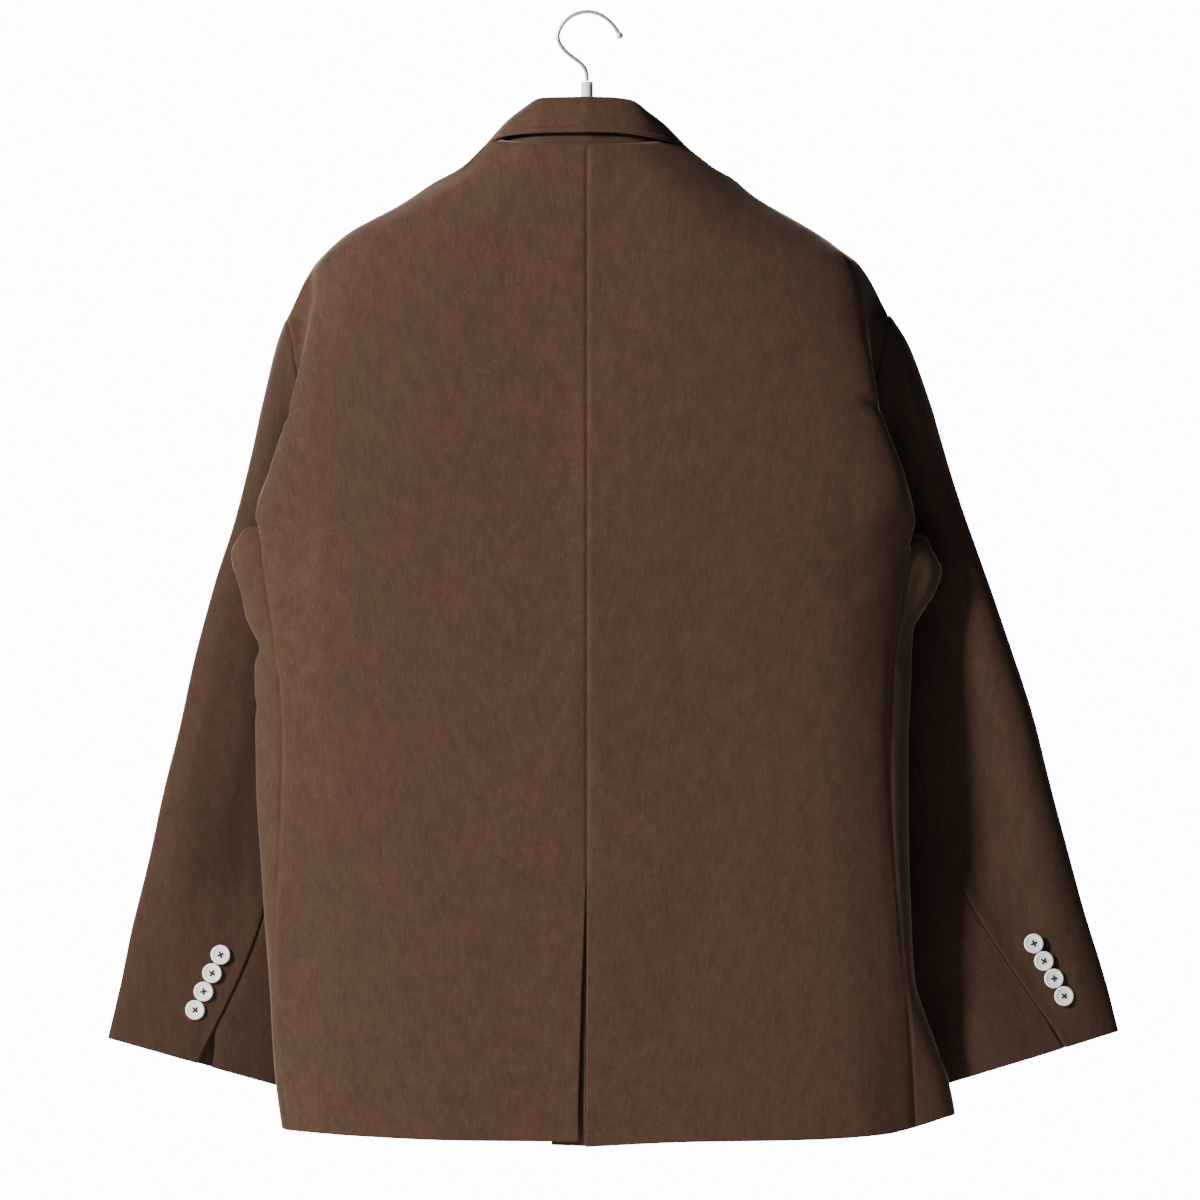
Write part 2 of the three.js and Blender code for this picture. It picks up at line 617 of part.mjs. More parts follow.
function frontPanel(side) {
  const surface = (across, place) => {
    const low = Math.min(Math.floor(Math.max(place, 0)), FRONT_DROPS.length - 2);
    const drop = mix(FRONT_DROPS[low], FRONT_DROPS[low + 1], place - low);
    const hem = 1 - THREE.MathUtils.smoothstep(FRONT_LENGTH - drop, 0, FRONT_HEM_BLEND);
    return frontPoint(side, across, drop - FRONT_HEM_RISE * hem * across * across);
  };
  const rows = spread(FRONT_DROPS.length, 0, FRONT_DROPS.length - 1);
  const edge = SEAM / 2 / FRONT_WIDE;
  const columns = [edge, 0.15, 0.32, 0.5, 0.66, 0.8, 0.91, 1 - edge];
  const edges = { last: (drop) => frontEdgeOutward(side, drop) };
  return onSide(side, wall(surface, columns, rows, -1, edges));
}

function sidePanel(side) {
  const surface = (across, part) => {
    const top = mix(side.sideTop, side.frontTop, side.sideTopLine(across).share) + UNDERARM_AIR;
    return sidePoint(side, across, mix(top, side.sideHemLine(across).drop, part));
  };
  const edge = SIDE_GAP / SIDE_WIDE;
  const columns = [edge, 0.18, 0.34, 0.5, 0.68, 0.84, 1 - edge];
  const edges = {
    first: (drop) => (drop > side.sideTop + SEAM_SETTLE ? sideSeamOutward(side, drop) : null),
    last: (drop) => (drop > side.frontTop + SEAM_SETTLE ? frontSeamOutward(side, drop) : null),
  };
  return onSide(side, wall(surface, columns, SIDE_ROWS, 1, edges));
}

// A sleeve from one seam to the next: from and to are turns in degrees that change along it.
function sleevePiece(side, from, to, columns) {
  const inset = THREE.MathUtils.radToDeg(SEAM / 2 / SLEEVE_ROUND);
  const surface = (across, part) => {
    const turn = mix(from(part) + inset, to(part) - inset, across);
    return sleevePoint(side, THREE.MathUtils.degToRad(turn), part);
  };
  return wall(surface, spread(columns), spread(SLEEVE_ROWS, FIRST_ROW, 1), -1);
}

function sleevePieces(side) {
  const seam = backSeamTurn(side);
  const ease = (part) => HEEL_EASE * (1 - THREE.MathUtils.smoothstep(part, 0, HEEL_LENGTH));
  const upper = sleevePiece(side, outerSeamTurn, (part) => seam(part) - ease(part), UPPER_COLUMNS);
  const under = sleevePiece(side, (part) => seam(part) + ease(part), frontSeamTurn, UNDER_COLUMNS);
  return { upper, under };
}

function backSeamTurn(side) {
  return (part) => side.seamAngle(THREE.MathUtils.clamp(part, 0, 1)).angle;
}

function frontSeamTurn() {
  return FRONT_SEAM_TURN;
}

function outerSeamTurn() {
  return FRONT_SEAM_TURN - 360;
}

// The front's surface at a distance from the centre, moved out.
function onFront(side, x, drop, out) {
  const across = solve((part) => frontPoint(side, part, drop).x, x, 0, 1);
  const place = frontPoint(side, across, drop);
  const alongX = frontPoint(side, across + TINY, drop).sub(frontPoint(side, across - TINY, drop));
  const alongZ = frontPoint(side, across, drop + 0.5).sub(frontPoint(side, across, drop - 0.5));
  const normal = alongZ.cross(alongX).normalize();
  return place.addScaledVector(normal, out);
}

function lapel(side) {
  const surface = (across, part) => {
    const rollDrop = mix(GORGE_DROP, BREAK_DROP - 4, part);
    const edgeDrop = mix(LAPEL_EDGE[0].drop, LAPEL_EDGE[LAPEL_EDGE.length - 1].drop, part);
    const rollX = frontLine(rollDrop).edgeX + 0.3;
    const x = mix(rollX, lapelLine(edgeDrop).x, across);
    const drop = mix(rollDrop, edgeDrop, across);
    const lift = LAPEL_ROLL * Math.sin(Math.PI * Math.min(across * 1.4, 1)) * (1 - part);
    return onFront(side, x, drop, CLOTH + LAPEL_AIR + lift);
  };
  return onSide(side, wall(surface, spread(5), spread(12), -1));
}

function collarPoint(turn, part) {
  const row = collarLine(part);
  const neck = point(row.neckX, row.neckY, -row.neckDrop);
  const top = point(row.topX, row.topY, -row.topDrop);
  const edge = point(row.edgeX, row.edgeY, -row.edgeDrop);
  const away = point(edge.x - neck.x, edge.y - neck.y, 0).setLength(1);
  const inner = neck.clone().lerp(top, 0.75).addScaledVector(away, -COLLAR_BULGE);
  const outer = top.clone().lerp(edge, 0.25).addScaledVector(away, COLLAR_BULGE);
  return path([neck, inner, top, outer, edge])(turn);
}

// Both collar pieces run from one notch round the back of the neck to the other one.
function collarPiece(from, to, columns) {
  const surface = (along, part) => {
    const place = collarPoint(mix(from, to, part), Math.abs(along));
    if (along < 0) place.x = -place.x;
    return place;
  };
  return wall(surface, spread(31, -1, 1), spread(columns), 1);
}

function ventUnderlap() {
  const surface = (across, place) => {
    const drop = mix(VENT_TOP - 6, UNDERLAP_DROP - across, place);
    const row = RIGHT.backLine(drop);
    const reach = mix(...UNDERLAP_REACH, place);
    const sink = mix(0.2, UNDERLAP_SINK, THREE.MathUtils.smoothstep(across, 0, 0.2));
    const depth = sink + UNDERLAP_AIR;
    return point(mix(1.2, reach, across), row.centreY - depth, -drop);
  };
  return wall(surface, [0, 0.2, 0.6, 1], spread(9), 1);
}

function button(across) {
  const r = across / 2;
  const profile = [
    [0, 0], [r * 0.85, 0], [r, BUTTON_THICK * 0.4], [r * 0.88, BUTTON_THICK],
    [r * 0.68, BUTTON_THICK * 0.8], [0, BUTTON_THICK * 0.75],
  ];
  return new THREE.LatheGeometry(profile.map(([x, y]) => new THREE.Vector2(x, y)), 16);
}

// A button lies on a place with its face along the outward direction.
function addButton(name, across, place, outward) {
  const geometry = mergeVertices(stripped(button(across)), 1e-3);
  const mesh = add(name, geometry, "button");
  mesh.position.copy(place).addScaledVector(outward, BUTTON_AIR);
  mesh.quaternion.setFromUnitVectors(new THREE.Vector3(0, 1, 0), outward);
}

function stripped(geometry) {
  geometry.deleteAttribute("normal");
  geometry.deleteAttribute("uv");
  return geometry;
}

// The place on the back of a sleeve that is seen at a distance from the centre and a drop.
function onSleeve(side, x, drop) {
  let turn = Math.PI / 2;
  let part = 0.9;
  for (let i = 0; i < 30; i += 1) {
    part = solve((value) => -sleevePoint(side, turn, value).z, drop, 0.5, 1);
    turn = solve((value) => sleevePoint(side, value, part).x, x, 0.1, Math.PI - 0.1);
  }
  const place = sleevePoint(side, turn, part);
  const round = sleevePoint(side, turn + TINY, part).sub(sleevePoint(side, turn - TINY, part));
  const along = sleevePoint(side, turn, part + TINY).sub(sleevePoint(side, turn, part - TINY));
  const outward = along.cross(round).normalize();
  if (side.sign < 0) {
    place.x *= -1;
    outward.x *= -1;
  }
  return { place, outward };
}

// The hanger: arms under the shoulders, a neck that holds the hook.
function shoulderDrop(side, x) {
  return solve((drop) => side.ridgeLine(drop).x, x, 93, 232);
}

function hangerTop(x) {
  const side = x > 0 ? LEFT : RIGHT;
  const reach = Math.abs(x);
  if (reach > HANGER_BEND) return shoulderDrop(side, reach) + HANGER_UNDER;
  const end = shoulderDrop(side, HANGER_BEND) + HANGER_UNDER;
  return mix(end - HANGER_RISE, end, Math.sin((reach / HANGER_BEND) * (Math.PI / 2)) ** 2);
}

function hangerRing(x) {
  const top = hangerTop(x);
  const round = Math.sqrt(Math.max(1 - (Math.abs(x) / (HANGER_REACH + 1)) ** 12, 0.02));
  const tall = HANGER_TALL * round;
  const side = x > 0 ? LEFT : RIGHT;
  const middle = Math.abs(x) > 70 ? side.ridgeLine(shoulderDrop(side, Math.abs(x))).y : HANGER_Y;
  return spread(13).slice(0, 12).map((part) => {
    const turn = part * 2 * Math.PI;
    const y = middle + (HANGER_WIDE / 2) * round * Math.cos(turn);
    return point(x, y, -top - HANGER_TALL / 2 + (tall / 2) * Math.sin(turn));
  });
}

function solid(geometry) {
  const merged = mergeVertices(stripped(geometry.clone()), 1e-3);
  return new wasm.Manifold(new wasm.Mesh({
    numProp: 3,
    vertProperties: merged.attributes.position.array,
    triVerts: new Uint32Array(merged.index.array),
  }));
}

function fromSolid(body) {
  const mesh = body.getMesh();
  const geometry = new THREE.BufferGeometry();
  geometry.setAttribute("position", new THREE.BufferAttribute(mesh.vertProperties, 3));
  geometry.setIndex(new THREE.BufferAttribute(mesh.triVerts, 1));
  return geometry;
}

function hanger() {
  const arms = loft(spread(41, -HANGER_REACH, HANGER_REACH).map(hangerRing));
  const foot = hangerTop(0) + HANGER_TALL / 2;
  const profile = [
    [0, -foot], [HANGER_NECK, -foot], [HANGER_NECK * 0.8, -foot + 14], [5, -NECK_TOP - 2],
    [4, -NECK_TOP], [0, -NECK_TOP],
  ];
  const neck = new THREE.LatheGeometry(profile.map(([x, z]) => new THREE.Vector2(x, z)), 16);
  neck.rotateX(Math.PI / 2);
  neck.translate(0, HANGER_Y, 0);
  const body = solid(arms).add(solid(neck));
  return fromSolid(body);
}

function hook() {
  const centre = point(0, HANGER_Y, -HOOK_RADIUS + HOOK_WIRE / 2);
  const arc = spread(9, 168, 12).map((turn) => {
    const angle = THREE.MathUtils.degToRad(turn);
    const grown = 1 + 0.1 * THREE.MathUtils.smoothstep(turn, 120, 168);
    return centre.clone().add(
      point(Math.cos(angle) * HOOK_RADIUS * grown, 0, Math.sin(angle) * HOOK_RADIUS),
    );
  });
  const stem = [
    [21, -24], [15, -31], [7, -36], [1.5, -41], [0, -46], [0, -NECK_TOP + SEAM],
  ].map(([x, z]) => point(x, HANGER_Y, z));
  const route = new THREE.CatmullRomCurve3([...arc, ...stem], false, "centripetal");
  const section = new THREE.Shape();
  section.absarc(0, 0, HOOK_WIRE / 2, 0, 2 * Math.PI);
  return new THREE.ExtrudeGeometry(section, {
    steps: HOOK_STEPS, curveSegments: HOOK_TURNS / 2, extrudePath: route,
  });
}

for (const side of [LEFT, RIGHT]) {
  const name = side.sign > 0 ? "left" : "right";
  side.sleeves = sleevePieces(side);
  add("back_" + name, backPanel(side), "moleskin");
  add("side_" + name, sidePanel(side), "moleskin");
  add("front_" + name, frontPanel(side), "moleskin");
  add("lapel_" + name, lapel(side), "moleskin");
  add("upper_sleeve_" + name, onSide(side, side.sleeves.upper), "moleskin");
  add("under_sleeve_" + name, onSide(side, side.sleeves.under), "moleskin");
  const [highest, lowest] = side.cuffButtons;
  spread(CUFF_BUTTONS).forEach((part, i) => {
    const x = mix(highest.x, lowest.x, part);
    const { place, outward } = onSleeve(side, x, mix(highest.drop, lowest.drop, part));
    addButton("cuff_button_" + name + "_" + (i + 1), CUFF_BUTTON, place, outward);
  });
}
add("vent_underlap", ventUnderlap(), "moleskin");
add("collar_stand", collarPiece(0, STAND_END, 4), "moleskin");
add("collar_fall", collarPiece(FALL_START, 1, 7), "moleskin");
FRONT_BUTTON_DROPS.forEach((drop, i) => {
  const place = onFront(LEFT, 0, drop, 0);
  addButton("front_button_" + (i + 1), FRONT_BUTTON, place, point(0, -1, 0));
});
add("hanger", hanger(), "hanger");
add("hanger_hook", hook(), "chrome");

export default jacket;
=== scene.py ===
"""Looks for a tailored moleskin jacket that hangs, back towards +Y, on a moulded hanger.

The tables and section functions repeat the part's own, in millimetres. Each cloth piece is a thin
shell on the form of its solid, divided more finely, with rounded edges, seams and soft creases.
"""
import math

import bpy
import numpy as np
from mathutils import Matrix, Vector


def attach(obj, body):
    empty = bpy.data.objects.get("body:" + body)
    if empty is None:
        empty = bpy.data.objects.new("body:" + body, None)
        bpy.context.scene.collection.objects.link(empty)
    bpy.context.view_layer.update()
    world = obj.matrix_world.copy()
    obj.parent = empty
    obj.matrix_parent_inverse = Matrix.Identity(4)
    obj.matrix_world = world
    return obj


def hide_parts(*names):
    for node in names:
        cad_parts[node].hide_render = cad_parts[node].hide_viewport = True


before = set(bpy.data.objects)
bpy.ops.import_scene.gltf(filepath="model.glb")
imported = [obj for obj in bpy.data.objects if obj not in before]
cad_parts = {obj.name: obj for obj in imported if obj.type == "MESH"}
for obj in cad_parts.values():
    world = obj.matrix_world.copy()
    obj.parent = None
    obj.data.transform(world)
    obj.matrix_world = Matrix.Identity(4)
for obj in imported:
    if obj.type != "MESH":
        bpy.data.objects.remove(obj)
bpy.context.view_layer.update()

MM = 0.001
CLOTH = 2.0
HOOK_GAP = 0.3
LAPEL_AIR = 1.3
HEEL_EASE = 15
HEEL_LENGTH = 0.26
UNDERARM_AIR = 1
BUTTON_AIR = 0.6
NECK_DROP = 100
NECK_RISE = 6
NECK_BLEND = 140
VENT_TOP = 658
BREAK_DROP = 425
GORGE_DROP = 150
WRAP = 18
TUCK = 5.6
FRONT_LENGTH = 856
FRONT_HEM_RISE = 6
FRONT_HEM_BLEND = 90
LAPEL_ROLL = 1.2
COLLAR_BULGE = 3
ROLL_SEAM = 0.40  # share of the collar's width at which its stand ends and its fall starts
COLLAR_SAG = 3.6  # how much lower the collar hangs on the right
UNDERLAP_DROP = 861.5
UNDERLAP_REACH = (20, 27)
UNDERLAP_AIR = 2.6
UNDERLAP_SINK = 5
CUFF_BUTTON = 15.0
FRONT_BUTTON = 20.0
BUTTON_THICK = 2.6
FRONT_BUTTON_DROPS = (440, 545, 650)
HOOK_RADIUS = 23.3
HOOK_WIRE = 3
HANGER_REACH = 198
HANGER_WIDE = 13
HANGER_TALL = 15
HANGER_NECK = 9
HANGER_UNDER = 3.9
HANGER_BEND = 92
HANGER_RISE = 16
HANGER_Y = -1
NECK_TOP = 52
FRONT_SEAM_TURN = 232
SEAM_SETTLE = 12
CUFF_OPEN = 0.765  # share of the sleeve at which its vent starts
SEAM_ENDS = {"vent": (-VENT_TOP - 3, -VENT_TOP + 1), "cuff": (-700, -690)}  # heights where seams open
MIRROR_GRAIN = (0.8317, 0.41)  # shift of the right side's cloth, so that the sides don't match
SLEEVE_RIDGE = (4.5, 0.14, 0.16)  # height of a sleeve's outer ridge, its place and width over the round
COLLAR_STITCH = 4.5
BACK_FOOT = 753  # where the back's rows start to follow the hem
SEEN = 0.912  # width that the camera sees, in metres
HEM_STEP = 0.22
HEM_LAYER = (36, 41)  # heights above the hem over which its second layer ends


# ---- lines and tables
def table(columns, text):
    """Columns of numbers by name. Commas part the rows of the text."""
    rows = [row.split() for row in text.split(",")]
    return dict(zip(columns.split(), np.array(rows, float).T))


def slopes(gaps, rate):
    """Slopes at the knots of a smooth line that doesn't overshoot them."""
    slope = np.concatenate([rate[:1], 0 * rate])
    slope[-1] = rate[-1]
    for i in range(1, len(rate)):
        before, after = 2 * gaps[i] + gaps[i - 1], gaps[i] + 2 * gaps[i - 1]
        same = rate[i - 1] * rate[i] > 0
        low, high = np.where(same, rate[i - 1], 1), np.where(same, rate[i], 1)
        slope[i] = np.where(same, (before + after) / (before / low + after / high), 0)
    return slope


def between(t, step, first, second, start, end):
    """A place between two knots, from their values and slopes."""
    bend = t * t * (3 - 2 * t)
    return first + (second - first) * bend + t * (1 - t) ** 2 * step * start + t * t * (t - 1) * step * end


def smooth(at, values):
    step = np.diff(at)
    slope = slopes(step, np.diff(values) / step)

    def line(place):
        x = np.clip(np.asarray(place, float), at[0], at[-1])
        i = np.clip(np.searchsorted(at, x, side="left") - 1, 0, len(at) - 2)
        return between((x - at[i]) / step[i], step[i], values[i], values[i + 1], slope[i], slope[i + 1])

    return line


def follow(rows):
    names = list(rows)
    lines = {name: smooth(rows[names[0]], rows[name]) for name in names[1:]}
    return lambda place: {name: line(place) for name, line in lines.items()}


def path(knots, part):
    """Points at shares of the length of smooth paths: knots is a list of arrays (..., 3)."""
    knots = np.stack(np.broadcast_arrays(*knots))
    part = np.broadcast_to(part, knots.shape[1:-1])
    gaps = np.maximum(np.linalg.norm(np.diff(knots, axis=0), axis=-1), 0.01)
    at = np.concatenate([np.zeros((1,) + part.shape), np.cumsum(gaps, axis=0)])
    slope = slopes(gaps[..., None], np.diff(knots, axis=0) / gaps[..., None])
    x = part * at[-1]
    i = (x > at[1:-1]).sum(axis=0)

    def pick(array, index):
        index = index[None] if array.ndim == index.ndim + 1 else index[None, ..., None]
        return np.take_along_axis(array, np.broadcast_to(index, (1,) + array.shape[1:]), 0)[0]

    step = pick(gaps, i)
    t = ((x - pick(at, i)) / step)[..., None]
    return between(t, step[..., None], pick(knots, i), pick(knots, i + 1), pick(slope, i), pick(slope, i + 1))


def point(x, y, z):
    return np.stack(np.broadcast_arrays(x, y, z), axis=-1).astype(float)


def mix(a, b, part):
    return a + (b - a) * part


def ramp(value, low, high):
    t = np.clip((np.asarray(value, float) - low) / (high - low), 0, 1)
    return t * t * (3 - 2 * t)


def solve(value, target, low, high):
    """Where a rising or falling function meets a target, for one number or an array of them."""
    target = np.asarray(target, float)
    bottom = np.full(target.shape, float(low))
    top = np.full(target.shape, float(high))
    rising = value(top) > value(bottom)
    for _ in range(40):
        middle = (bottom + top) / 2
        below = (value(middle) < target) == rising
        bottom = np.where(below, middle, bottom)
        top = np.where(below, top, middle)
    return (bottom + top) / 2


# ---- the jacket's sections
LEFT = {
    "sign": 1,
    "tip": (229, -8, -232),
    "under": (204, -36, -428),
    "arm_back": (-2, 34, 10),
    "arm_front": (-22, -16, 0),
    "heel": 26,
    "side_top": 383,
    "front_top": 412,
    "ridge": table("drop x y", """
        93 68 -1, 99 77 -1, 107 84 -1, 117 96 -1, 128 117 -1.5, 145 142 -2, 169 185 -4,
        179 196 -5, 194 210 -6, 232 229 -8"""),
    "back": table("drop centreY midY nearY foldX foldY turnX turnY", """
        94 33 29 17 66 8 69 4, 99 33.3 29.5 17.5 73 8 76 4, 117 36 33 20.5 91 9 95 4.5,
        145 40 37 24.5 134 11 139 6, 169 43 40.5 28 175 13.5 181.5 7,
        190 45 42.5 31.5 197 17 203 9, 212 46.5 44 34 203 20 209.5 11,
        232 47.5 45 36 208.5 22 214 12, 262 48 45.5 37 216.5 23 217 14,
        300 48 45.5 37 225.5 22 225.5 14, 348 47.5 45 36.5 241 18 241 12,
        373 47 44.5 35.5 248 17 250.5 12, 383 47 44.3 35 243 19 252 12,
        394 46.8 44.1 34.5 239 19 249.5 12, 406 46.5 44 34 236 19 247 11.5,
        440 45.5 43 33.5 232 20 240 15, 487 43.5 41 32.5 226 21.5 234 17.5,
        556 41 38.5 31 220 22 228 19, 627 39.5 37 30 222 21.5 230 18.5,
        715 38 36 29 226 20 234 17.5, 790 37 35 27.5 224 17 231 13.5, 860 36 34 26 214 14 222 10"""),
    "side_seam": table("drop x y", """
        406 248 9, 440 244 12, 464 240 14, 487 238 15, 511 234 16, 556 232 17, 627 234 17,
        715 238 16, 753 238 14, 860 226 8"""),
    "body_edge": table("drop x y", """
        383 253 6, 393 261 0, 402 267 -3, 411 271 -5, 442 263 -2, 459 259 -2, 481 251 0,
        500 253 1, 593 252 2, 637 249 2, 686 246 2, 744 242 2, 802 238 1, 860 230 0"""),
    "hem": table("across drop", "0 858, 0.4 857.3, 0.75 854, 1 850"),
    "side_top_share": table("across share", "0 0, 0.3 0.25, 0.55 0.6, 0.8 1.2, 1 1.75"),
    "side_hem": table("across drop", "0 850, 0.4 848, 1 851"),
    "vent": table("drop x", "650 0, 702 2, 737 3.5, 804 5.5, 833 6.5, 860 6"),
    "sleeve": table("drop outX outY inX inY inDrop backX backY frontX frontY heel", """
        252 236 -13 204 -37 430 -2 32 -20 -16 12, 294 246 -22 204 -38 433 -2 29 -15 -18 2,
        337 256 -30 203 -39 437 -1 26 -8 -21 0, 391 270 -36 200 -40 445 0 24 -3 -24 0,
        434 284 -38 192 -40 462 0 24 0 -26 0, 488 299 -38 183 -41 512 0 24.5 0 -26 0,
        551 312 -37 181 -40 580 0 24 0 -25 0, 598 324 -35 187 -38 632 0 22 0 -23 0,
        643 334 -33 194 -35 680 0 20 0 -21 0, 695 347 -30 206 -31 732 0 17 0 -18 0,
        738 356 -28 218 -28 776 0 14 0 -15 0, 780 366 -27 230 -27 818 0 12 0 -13 0"""),
    "back_seam": table("part angle", "0 124, 0.4 120, 0.8 107, 1 91"),
    "cuff_buttons": [(279, 716.5), (298.3, 758.5)],
    "gape": 9,
    "valley": (10.5, 0.22, 0.70),
    "valley_end": (640, 705),
    "creases": {  # for each piece: the line, how wide it is and how deep
        "back": (([(215, -193), (213, -218), (222, -250), (228, -280)], 5.5, 4.0),
                 ([(212, -299), (221, -302), (231, -309)], 3.2, 2.4),
                 ([(222, -350), (219, -415), (224, -455)], 13, 1.8),
                 ([(214, -560), (205, -600), (192, -630)], 14, 0.8),
                 ([(214, -395), (222, -470), (222, -520)], 11, 0.9)),
        "side": (([(262, -481), (250, -484), (240, -490)], 7, 2.2),
                 ([(262, -522), (250, -528), (238, -537)], 6, 1.6)),
        "sleeve": (([(246, -300), (262, -420), (282, -560), (300, -690)], 13, 2.2),
                   ([(238, -520), (262, -600), (268, -700)], 10, 1.2)),
    },
}
RIGHT = {
    "sign": -1,
    "tip": (230, -8, -229),
    "under": (204, -36, -434),
    "arm_back": (-4, 34, 10),
    "arm_front": (-22, -16, 0),
    "heel": 26,
    "side_top": 388,
    "front_top": 418,
    "ridge": table("drop x y", """
        93 68 -1, 103 78 -1, 114 90 -1, 124 110 -1.5, 140 129 -2, 159 162 -3, 172 183 -4,
        180 193 -5, 190 207 -6, 229 230 -8"""),
    "back": table("drop centreY midY nearY foldX foldY turnX turnY", """
        94 33 29 17 66 8 69 4, 99 33.3 29.5 17.5 70 8 73 4, 117 36 33 20.5 91 9 95 4.5,
        145 40 37 24.5 130 11 135 6, 169 43 40.5 28 170 13.5 176 7, 190 45 42.5 31.5 198 17 203 9,
        212 46.5 44 34 207 20 212 11, 231 47.5 45 36 209.5 22 215 12,
        262 48 45.5 37 216 23 216.5 14, 300 48 45.5 37 223 22 223 14,
        355 47.5 45 36.5 242 18 242 12, 376 47 44.5 35.5 246 18 248 12.5,
        388 47 44.3 35 242 19 250 12, 397 46.8 44.1 34.5 238 19 248 12,
        407 46.5 44 34 236 19 245.5 11.5, 446 45.5 43 33.5 230 20 237 15,
        501 43 40.5 32.5 222 21.5 229 17.5, 556 41 38.5 31 219 22 226 19,
        602 40 37.5 30.5 220 22 227 19, 691 38.5 36 29 228 20 234 17.5,
        763 37.5 35 27.5 236 17 242 14, 860 36 34 26 240 12 247 9"""),
    "side_seam": table("drop x y", """
        407 247 9, 446 240 12, 472 236 14, 501 232 15, 545 230 16, 602 231 17, 657 235 17,
        691 238 16, 734 242 15, 763 245 13, 860 249 7"""),
    "body_edge": table("drop x y", """
        388 251 6, 396 257 0.5, 408 263 -3, 424 270 -5, 439 266 -3, 456 256 -3, 469 249 0,
        494 248 1, 566 245 2, 627 245 2, 695 247 2, 738 250 1, 763 258 -1, 786 266 -3, 812 275 -5,
        860 284 -7"""),
    "hem": table("across drop", "0 862, 0.3 858.5, 0.65 857, 0.9 853, 1 848"),
    "side_top_share": table("across share", "0 0, 0.3 0.25, 0.55 0.6, 0.8 1.2, 1 1.65"),
    "side_hem": table("across drop", "0 848, 0.3 838, 0.6 832, 1 846"),
    "vent": table("drop x", "650 0, 860 -1"),
    "sleeve": table("drop outX outY inX inY inDrop backX backY frontX frontY heel", """
        252 245 -13 204 -37 435 -2 32 -20 -16 14, 294 261 -22 204 -38 437 -2 29 -15 -18 4,
        326 271 -30 203 -39 440 -1 26 -8 -21 0, 366 284 -36 200 -40 447 0 24 -3 -24 0,
        410 299 -38 194 -40 466 0 24 0 -26 0, 457 315 -38 190 -41 504 0 24.5 0 -26 0,
        527 337 -37 198 -40 568 0 24 0 -25 0, 580 351 -35 210 -38 624 0 22 0 -23 0,
        637 367 -33 225 -35 680 0 20 0 -21 0, 680 379 -30 237 -32 724 0 17 0 -18 0,
        730 394 -28 252 -29 772 0 14 0 -15 0, 775 405 -27 268 -28 817 0 12 0 -13 0"""),
    "back_seam": table("part angle", "0 124, 0.4 118, 0.75 100, 1 66"),
    "cuff_buttons": [(340, 708), (363, 748)],
    "gape": 1.5,
    "valley": (17, 0.05, 0.42),
    "valley_end": (735, 800),
    "creases": {
        "back": (([(209, -294), (218, -297), (227, -304)], 3.2, 2.6),
                 ([(66, -455), (73, -500), (70, -535)], 5, 0.6),
                 ([(205, -330), (201, -400), (207, -450)], 12, 1.2),
                 ([(222, -420), (206, -432), (192, -450)], 9, 0.9)),
        "side": (([(243, -472), (243, -488), (242, -503)], 4.5, 2.6),
                 ([(256, -420), (250, -440), (243, -455)], 6, 1.6)),
        "sleeve": (([(262, -320), (286, -440), (312, -560), (340, -690)], 14, 2.6),
                   ([(262, -560), (290, -640), (300, -720)], 10, 1.2)),
    },
}
FRONT = table("drop edgeX centreY midY nearY", """
    99 71 -8 -7 -4, 117 67 -24 -22 -13, 145 59 -34 -33 -22, 169 53 -38 -38 -28,
    190 47 -40 -40.5 -32, 232 35 -43 -43.5 -37, 262 27 -44 -45 -41, 321 10.7 -45 -46 -44,
    397 -10.3 -45 -45 -36, 425 -18 -45 -44 -30, 470 -18 -44.5 -41.5 -25, 556 -18 -43 -40 -25,
    700 -18 -41.5 -38 -24, 770 -18 -41 -37.5 -23.5, 800 -15.5 -40.7 -37.2 -23.3,
    825 -8 -40.5 -37 -23.2, 842 3 -40.3 -37 -23.1, 852 16 -40.2 -37 -23, 857 32 -40 -37 -23""")
FRONT_SEAM = table("drop x y", """
    434 204 -8, 455 205 -6, 500 206 -9, 700 206 -11, 860 200 -12""")
LAPEL_EDGE = table("drop x", "168 136, 200 130, 250 114, 300 91, 350 60, 400 17, 424 -11")
COLLAR = table("part neckX neckY neckDrop topX topY topDrop edgeX edgeY edgeDrop", """
    0 0 28.7 102.6 0 27 64 0 36 91, 0.16 33.3 25.2 101.9 33 21.5 64.5 36.5 32.4 91.5,
    0.32 54.3 15 100.8 46.5 12 71 61.5 20 93.5, 0.48 65.5 0 98.3 57 -1 83 76.5 2 99.5,
    0.64 68.5 -14 103 59.5 -18.5 96.5 90.5 -14.5 117, 0.8 65.5 -28 124 61 -33 121 112 -30 138.5,
    1 61.5 -36.5 147.5 58.5 -40 146.5 98 -40.5 157.5""")
front_line = follow(FRONT)
collar_line = follow(COLLAR)
lapel_line = follow(LAPEL_EDGE)


def ring(out, inner, back, front, heel):
    names = ("out", "inner", "back", "front")
    made = dict(zip(names, (np.array(p, float) for p in (out, inner, back, front))))
    return made | {"heel": heel}


def ring_point(a_ring, turn):
    """A turn of 0 is the outer point, a quarter the back, a half the inner point."""
    turn = np.asarray(turn, float)
    sine, cosine = np.sin(turn)[..., None], np.cos(turn)[..., None]
    middle = (a_ring["out"] + a_ring["inner"]) / 2
    half = (a_ring["out"] - a_ring["inner"]) / 2
    bow = np.where(sine > 0, a_ring["back"], a_ring["front"])
    rise = np.abs(sine)
    bowed = bow * np.concatenate([rise * rise, rise, rise * rise], axis=-1)
    low = (1 - cosine) / 2
    heel = np.where(sine > 0, a_ring["heel"] * rise * rise * low ** 3, 0)
    bowed = bowed + heel * np.array([1.0, 0, 0])
    return middle + half * cosine + bowed


